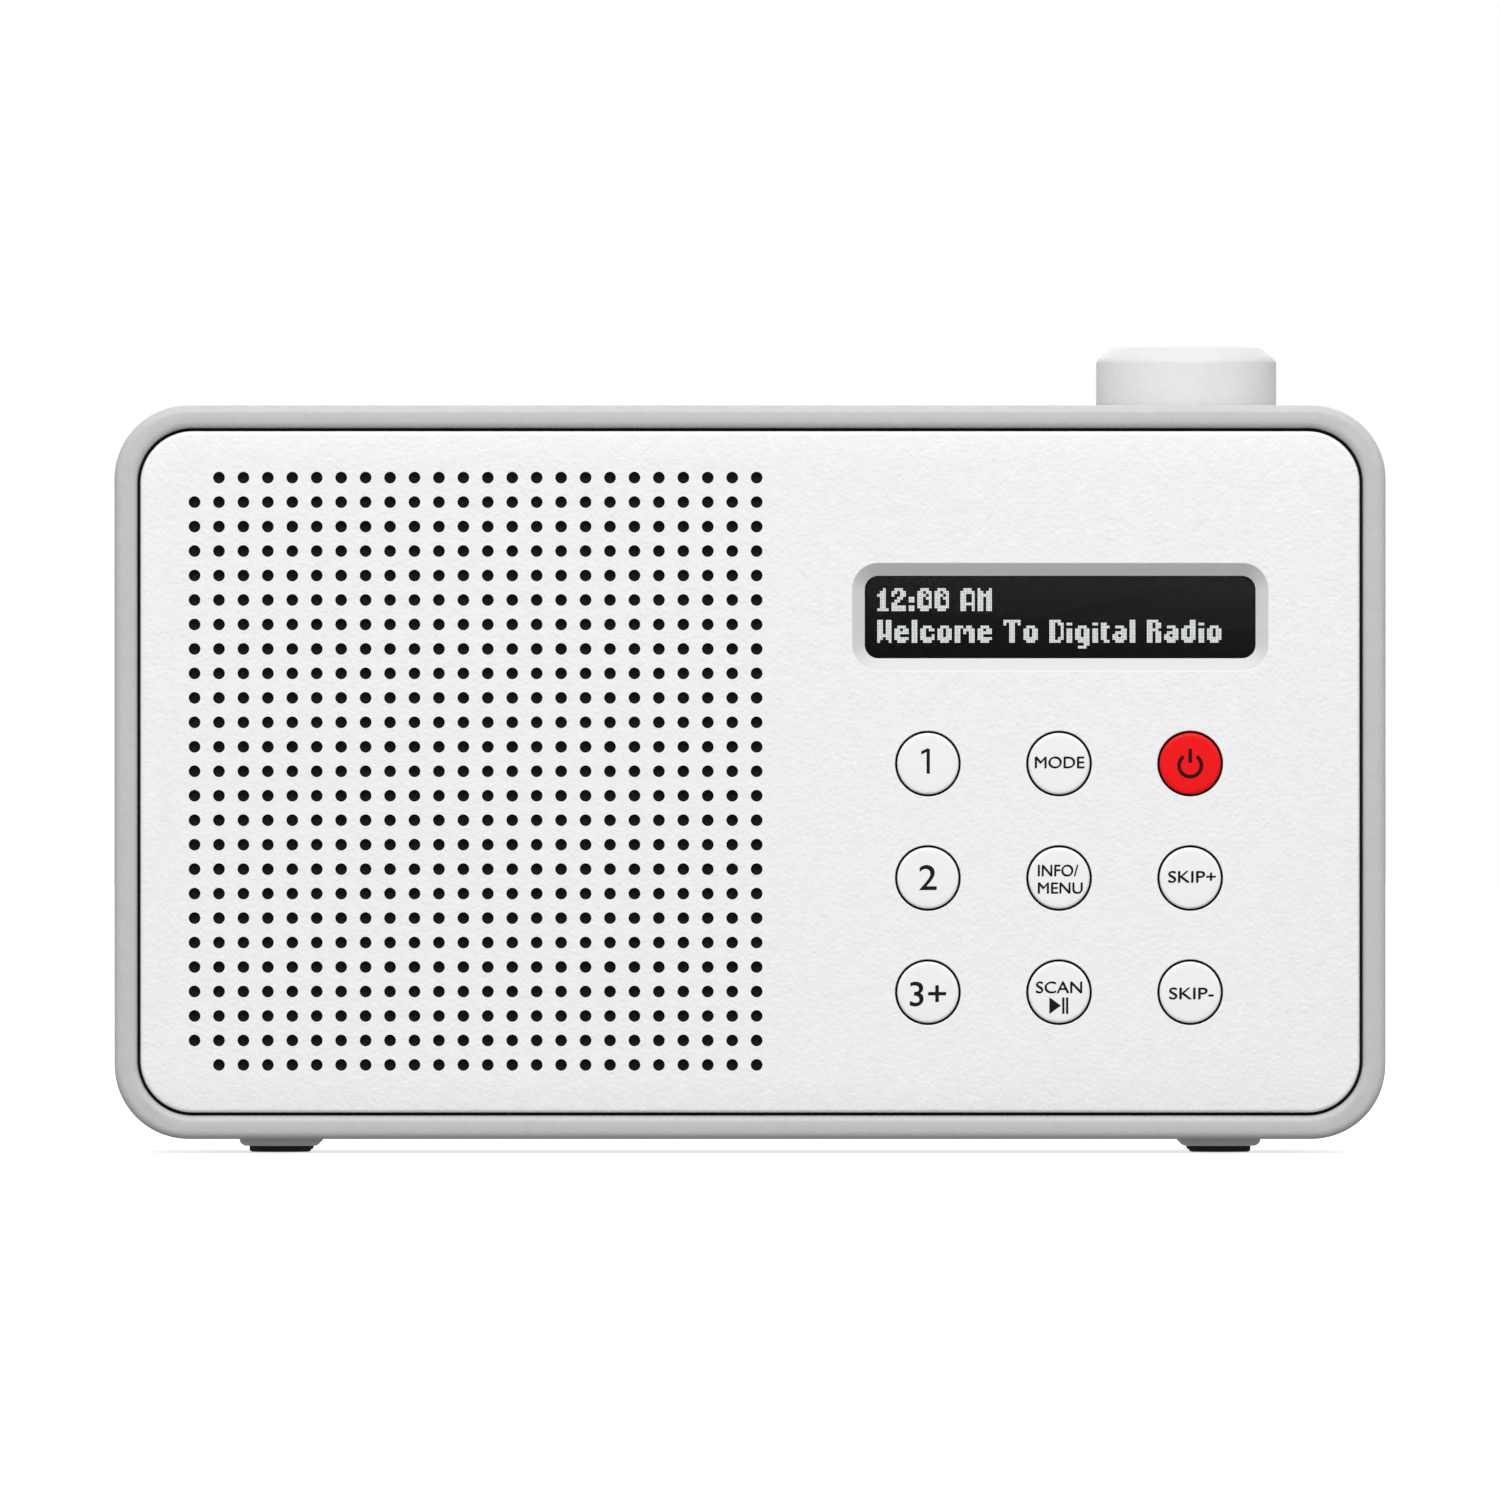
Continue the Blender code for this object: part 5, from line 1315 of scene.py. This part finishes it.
class RADIO_OT_sockets(bpy.types.Operator):
    """Power inlet with its centre pin, and auxiliary socket"""

    bl_idname = "radio.sockets"
    bl_label = "Sockets"

    def execute(self, context):
        for node, (nose, bore) in SOCKETS.items():
            low, high = box_of(node)
            x, _, z = middle(node)
            shoulder = COVER_LOW.y - GAP
            socket = block(node + "_body", low, (high.x, shoulder, high.z))
            round_off(socket, lambda edge: at_level(edge, 1, shoulder), 0.4 * MM, 2)
            rings = profile(shoulder, (nose, -1)) + profile(high.y, (nose, -0.3), (nose - 0.3, 0))
            carve(socket, turned("nose", rings, (x, 0, z), "Y", 40), "UNION")
            rings = profile(
                high.y, (bore, -9.5), (bore, -0.35), (bore + 0.45, 0.1), (bore + 0.45, 1))
            carve(socket, turned("bore", rings, (x, 0, z), "Y", 32))
            if node == "power_inlet":
                rings = profile(high.y, (1, -10.5), (1, -1.5), (0.5, -1))
                carve(socket, turned("pin", rings, (x, 0, z), "Y", 24), "UNION")
            tidy_mesh(socket)
            finished(socket, "cabinet", "black_plastic", node)

            def lined(face):
                centre = face.calc_center_median()
                return (Vector((centre.x - x, centre.z - z)).length < bore * MM + LINK
                        and high.y - 10 * MM < centre.y < high.y - 0.4 * MM)

            painted(socket, "nickel", lined)
        return {"FINISHED"}


# ---- Battery contacts ------------------------------------------------------------------------

CONTACTS = ("battery_bridge_top_left", "battery_bridge_top_right", "battery_bridge_bottom",
            "battery_contact_plus", "battery_contact_minus")


class RADIO_OT_contacts(bpy.types.Operator):
    """Nickel contact plates with wound springs in the battery tray"""

    bl_idname = "radio.contacts"
    bl_label = "Battery Contacts"

    def execute(self, context):
        tray_centre = middle("battery_tray")
        for node in CONTACTS:
            low, high = box_of(node)
            above = (low.z + high.z) / 2 > tray_centre.z
            plate = 0.5 * MM
            if above:
                plate_low, plate_high = Vector((low.x, low.y, high.z - plate)), high
            else:
                plate_low, plate_high = low, Vector((high.x, high.y, low.z + plate))
            contact = block("contact", plate_low, plate_high)
            round_off(contact, lambda edge: runs_along(edge, 2), 1.2 * MM, 4)
            pieces = [contact]
            if node != "battery_contact_plus":
                x = high.x - 4.5 * MM if "bridge" in node else low.x + 4.5 * MM
                wall = plate_low.z if above else plate_high.z
                pieces.append(coil((x, (low.y + high.y) / 2, wall), -1 if above else 1))
            made = merged(node.replace("battery", "sprung"), pieces)
            finished(made, "cabinet", "nickel", node)
        return {"FINISHED"}


def coil(foot, way):
    """A tapered wire spring that stands on foot and points up or down."""
    wire, wide, narrow, height, turns = 0.28 * MM, 3.2 * MM, 1.9 * MM, 2.6 * MM, 3
    clear_selection()
    bpy.ops.mesh.primitive_circle_add(
        vertices=8, radius=wire, location=(wide, 0, 0), rotation=(pi / 2, 0, 0))
    made = added("spring")
    wound = made.modifiers.new("wound", "SCREW")
    wound.angle = 2 * pi * turns
    wound.screw_offset = height
    wound.steps = wound.render_steps = 20 * turns
    wound.use_merge_vertices = False
    bpy.ops.object.modifier_apply(modifier=wound.name)
    pick(made, "EDGE", lambda edge: edge.is_boundary)
    bpy.ops.mesh.edge_face_add()
    leave_edit()
    for vert in made.data.vertices:
        share = min(1.0, max(0.0, vert.co.z / height))
        factor = 1 + (narrow / wide - 1) * share
        vert.co.x *= factor
        vert.co.y *= factor
        vert.co.z *= way
    made.location = (foot[0], foot[1], foot[2] + way * wire)
    only(made)
    bpy.ops.object.transform_apply(location=True)
    tidy_mesh(made)
    return made


# ---- Antenna -----------------------------------------------------------------------------

class RADIO_OT_antenna(bpy.types.Operator):
    """Telescopic antenna: swivel, hinge pin, three tubes and the tipped rod"""

    bl_idname = "radio.antenna"
    bl_label = "Antenna"

    def execute(self, context):
        hinge = middle("antenna_pin")
        low, high = box_of("antenna_swivel")
        disc = COVER_BACK + GAP
        swivel = turned("swivel_base", [
            *profile(low.y, (4.5, 0), (4.8, 0.3)),
            *profile(COVER_LOW.y - GAP, (4.8, 0), (3.0, 0)),
            *profile(disc, (3.0, 0), (5.6, 0), (5.6, 0.35), (5.5, 0.55), (5.25, 0.7)),
        ], (hinge.x, 0, hinge.z), "Y", 48)
        half = 2.4 * MM
        for near, far in ((-3.0 * MM, -1.3 * MM), (1.3 * MM, 3.0 * MM)):
            ear = block("ear", (hinge.x - half, disc + 0.3 * MM, hinge.z + near),
                        (hinge.x + half, high.y, hinge.z + far))
            round_off(ear, lambda edge: runs_along(edge, 2) and edge.verts[0].co.y > hinge.y,
                      2.0 * MM, 8)
            carve(swivel, ear, "UNION")
        drill = profile(0, (1.1, -5), (1.1, 5))
        carve(swivel, turned("drill", drill, hinge, sides=24))
        tidy_mesh(swivel)
        finished(swivel, "antenna_base", "chrome", "antenna_swivel")

        head = 3.02 * MM
        end = ((0.9, 0), (1.5, 0), (1.1, 0.3), (0.4, 0.42))
        pin = turned("rivet", [
            *profile(-head, *((radius, -way) for radius, way in reversed(end))),
            *profile(head, *end)], hinge, sides=24)
        finished(pin, "antenna_base", "steel", "antenna_pin")

        axis = (0, hinge.y, hinge.z)
        collar = hinge.x - 4.0 * MM
        far = box_of("antenna_tube_1")[0].x
        outer = turned("mast_outer", [
            *profile(collar, (2.3, 0), (2.6, -0.3), (2.6, -3.0), (2.45, -3.2), (2.6, -3.4)),
            *profile(far, (2.6, 0.5), (2.45, 0), (2.25, 0), (2.2, 0.3)),
            *profile(collar, (2.2, -4.0))], axis, "X", 32)
        tongue = block(
            "tongue", (collar - MM, hinge.y - 1.8 * MM, hinge.z - MM),
            (hinge.x + 1.8 * MM, hinge.y + 1.8 * MM, hinge.z + MM))
        round_off(tongue, lambda edge: runs_along(edge, 2) and edge.verts[0].co.x > hinge.x,
                  1.7 * MM, 8)
        carve(outer, tongue, "UNION")
        carve(outer, turned("drill", drill, hinge, sides=24))
        tidy_mesh(outer)
        finished(outer, "antenna_mast", "chrome", "antenna_tube_1")

        for number, radius, bore in ((2, 2.0, 1.7), (3, 1.5, 1.2)):
            low, high = box_of(f"antenna_tube_{number}")
            section = turned(f"mast_section_{number}", [
                *profile(high.x, (radius - 0.1, 0), (radius, -0.1)),
                *profile(low.x, (radius, 0.4), (radius - 0.12, 0), (bore + 0.05, 0), (bore, 0.2)),
                *profile(high.x, (bore, -0.4))], axis, "X", 28)
            finished(section, f"antenna_section_{number}", "chrome", f"antenna_tube_{number}")

        low, high = box_of("antenna_rod")
        rod = turned("mast_rod", [
            *profile(high.x, (0.9, 0), (1, -0.1)),
            *profile(low.x, (1, 6.0), (1.7, 6.0), (2.1, 5.85), (2.4, 5.4), (2.4, 1.2),
                     (2.2, 0.55), (1.7, 0.15), (0.9, 0))], axis, "X", 28)
        finished(rod, "antenna_section_4", "chrome", "antenna_rod")
        return {"FINISHED"}


# ---- Parts inside ------------------------------------------------------------------------------

class RADIO_OT_inside(bpy.types.Operator):
    """Gives the parts inside the cabinet their finishes"""

    bl_idname = "radio.inside"
    bl_label = "Parts Inside"

    def execute(self, context):
        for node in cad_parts.values():
            for place in node.material_slots:
                place.material = finish(place.material.name.split(".")[0])
        return {"FINISHED"}


# ---- Stage ---------------------------------------------------------------------------------

def soft_light(name, place, aim, width, height, power):
    clear_selection()
    bpy.ops.object.light_add(type="AREA", location=place)
    light = bpy.context.object
    light.name = light.data.name = name
    light.data.shape = "RECTANGLE"
    light.data.size, light.data.size_y = width, height
    light.data.energy = power
    way = Vector(aim) - Vector(place)
    light.rotation_euler = way.to_track_quat("-Z", "Y").to_euler()
    return light


def studio():
    """Soft surroundings: brighter above than below, and white behind the radio."""
    size = sizes()
    world = bpy.data.worlds.new("studio")
    world.use_nodes = True
    tree = world.node_tree
    way = shading(tree, "TexCoord", {}).outputs["Generated"]
    split = shading(tree, "SeparateXYZ", {"Vector": way})
    rise = shading(tree, "MapRange", {
        "From Min": -0.35, "From Max": 0.35, "To Min": size.light_below,
        "To Max": size.light_above, "Value": split.outputs["Z"],
    }, interpolation_type="SMOOTHSTEP")
    sideways = product(tree, split.outputs["X"], split.outputs["X"])
    dim = shading(
        tree, "Math", {0: sideways, 1: -size.side_dimming, 2: 1.0}, operation="MULTIPLY_ADD")
    light = product(tree, rise.outputs["Result"], dim.outputs[0])
    camera_ray = shading(tree, "LightPath", {}).outputs["Is Camera Ray"]
    seen = shading(
        tree, "Mix", {"A": light, "B": (1, 1, 1, 1), "Factor": camera_ray}, data_type="RGBA")
    feed(tree, tree.nodes["Background"].inputs["Color"], seen.outputs["Result"])
    return world


class RADIO_OT_stage(bpy.types.Operator):
    """Pale floor, soft studio light and the camera"""

    bl_idname = "radio.stage"
    bl_label = "Stage"

    def execute(self, context):
        scene = context.scene
        clear_selection()
        bpy.ops.mesh.primitive_circle_add(
            vertices=96, radius=12, fill_type="NGON", location=(0, 0, -0.2 * MM))
        floor = added("floor")
        made, tree, shader, place = plain("pale_floor", (0.88, 0.88, 0.88), 0.9)
        cloud = tinted(tree, noise(tree, place, 3.0), (0.87, 0.87, 0.87), (0.89, 0.89, 0.89))
        feed(tree, shader.inputs["Base Color"], cloud)
        shader.inputs["Specular IOR Level"].default_value = 0.0
        shader.inputs["Emission Color"].default_value = (1, 1, 1, 1)
        shader.inputs["Emission Strength"].default_value = 0.65
        floor.data.materials.append(made)
        floor.visible_diffuse = False
        floor.visible_glossy = False

        scene.world = studio()
        aim = (0, 0, 0.06)
        soft_light("key", (0, -1.25, 1.10), aim, 1.3, 1.1, sizes().key_power)
        soft_light("rear_fill", (0, 1.40, 0.80), aim, 1.2, 0.9, sizes().key_power * 0.25)

        target = Vector((0, FACE, sizes().camera_height))
        bpy.ops.object.camera_add(
            location=target - Vector((0, sizes().camera_distance, 0)), rotation=(pi / 2, 0, 0))
        camera = bpy.context.object
        camera.name = camera.data.name = "camera"
        camera.data.sensor_width = 36
        camera.data.lens = 36 * sizes().camera_distance / sizes().frame_width
        camera.data.clip_end = 100
        camera.data.clip_start = 0.05
        scene.camera = camera
        scene.view_settings.view_transform = "Standard"
        return {"FINISHED"}


# ---- Panel, registration and run -----------------------------------------------------------

OPERATORS = (
    RADIO_OT_cabinet, RADIO_OT_front_panel, RADIO_OT_cloth, RADIO_OT_display, RADIO_OT_buttons,
    RADIO_OT_knob, RADIO_OT_feet, RADIO_OT_rear_cover, RADIO_OT_battery_door, RADIO_OT_screws,
    RADIO_OT_sockets, RADIO_OT_contacts, RADIO_OT_antenna, RADIO_OT_inside, RADIO_OT_stage,
)


class RADIO_PT_maker(bpy.types.Panel):
    """Lists the radio's pieces and settings"""

    bl_idname = "RADIO_PT_maker"
    bl_label = "Tabletop Radio"
    bl_space_type = "VIEW_3D"
    bl_region_type = "UI"
    bl_category = "Radio"

    def draw(self, context):
        for settings in (context.scene.radio_sizes, context.scene.radio_colours):
            box = self.layout.box()
            for name in settings.bl_rna.properties.keys():
                if name not in ("rna_type", "name"):
                    box.prop(settings, name)
        for each in OPERATORS:
            self.layout.operator(each.bl_idname)


CLASSES = (RadioSizes, RadioColours, *OPERATORS, RADIO_PT_maker)


def register():
    for each in CLASSES:
        bpy.utils.register_class(each)
    bpy.types.Scene.radio_sizes = PointerProperty(type=RadioSizes)
    bpy.types.Scene.radio_colours = PointerProperty(type=RadioColours)


def unregister():
    del bpy.types.Scene.radio_colours
    del bpy.types.Scene.radio_sizes
    for each in reversed(CLASSES):
        bpy.utils.unregister_class(each)


def main():
    register()
    bpy.ops.radio.stage()
    bpy.ops.radio.cabinet()
    bpy.ops.radio.front_panel()
    bpy.ops.radio.cloth()
    bpy.ops.radio.display()
    bpy.ops.radio.buttons()
    bpy.ops.radio.knob()
    bpy.ops.radio.feet()
    bpy.ops.radio.rear_cover()
    bpy.ops.radio.battery_door()
    bpy.ops.radio.screws()
    bpy.ops.radio.sockets()
    bpy.ops.radio.contacts()
    bpy.ops.radio.antenna()
    bpy.ops.radio.inside()


if __name__ == "__main__":
    main()
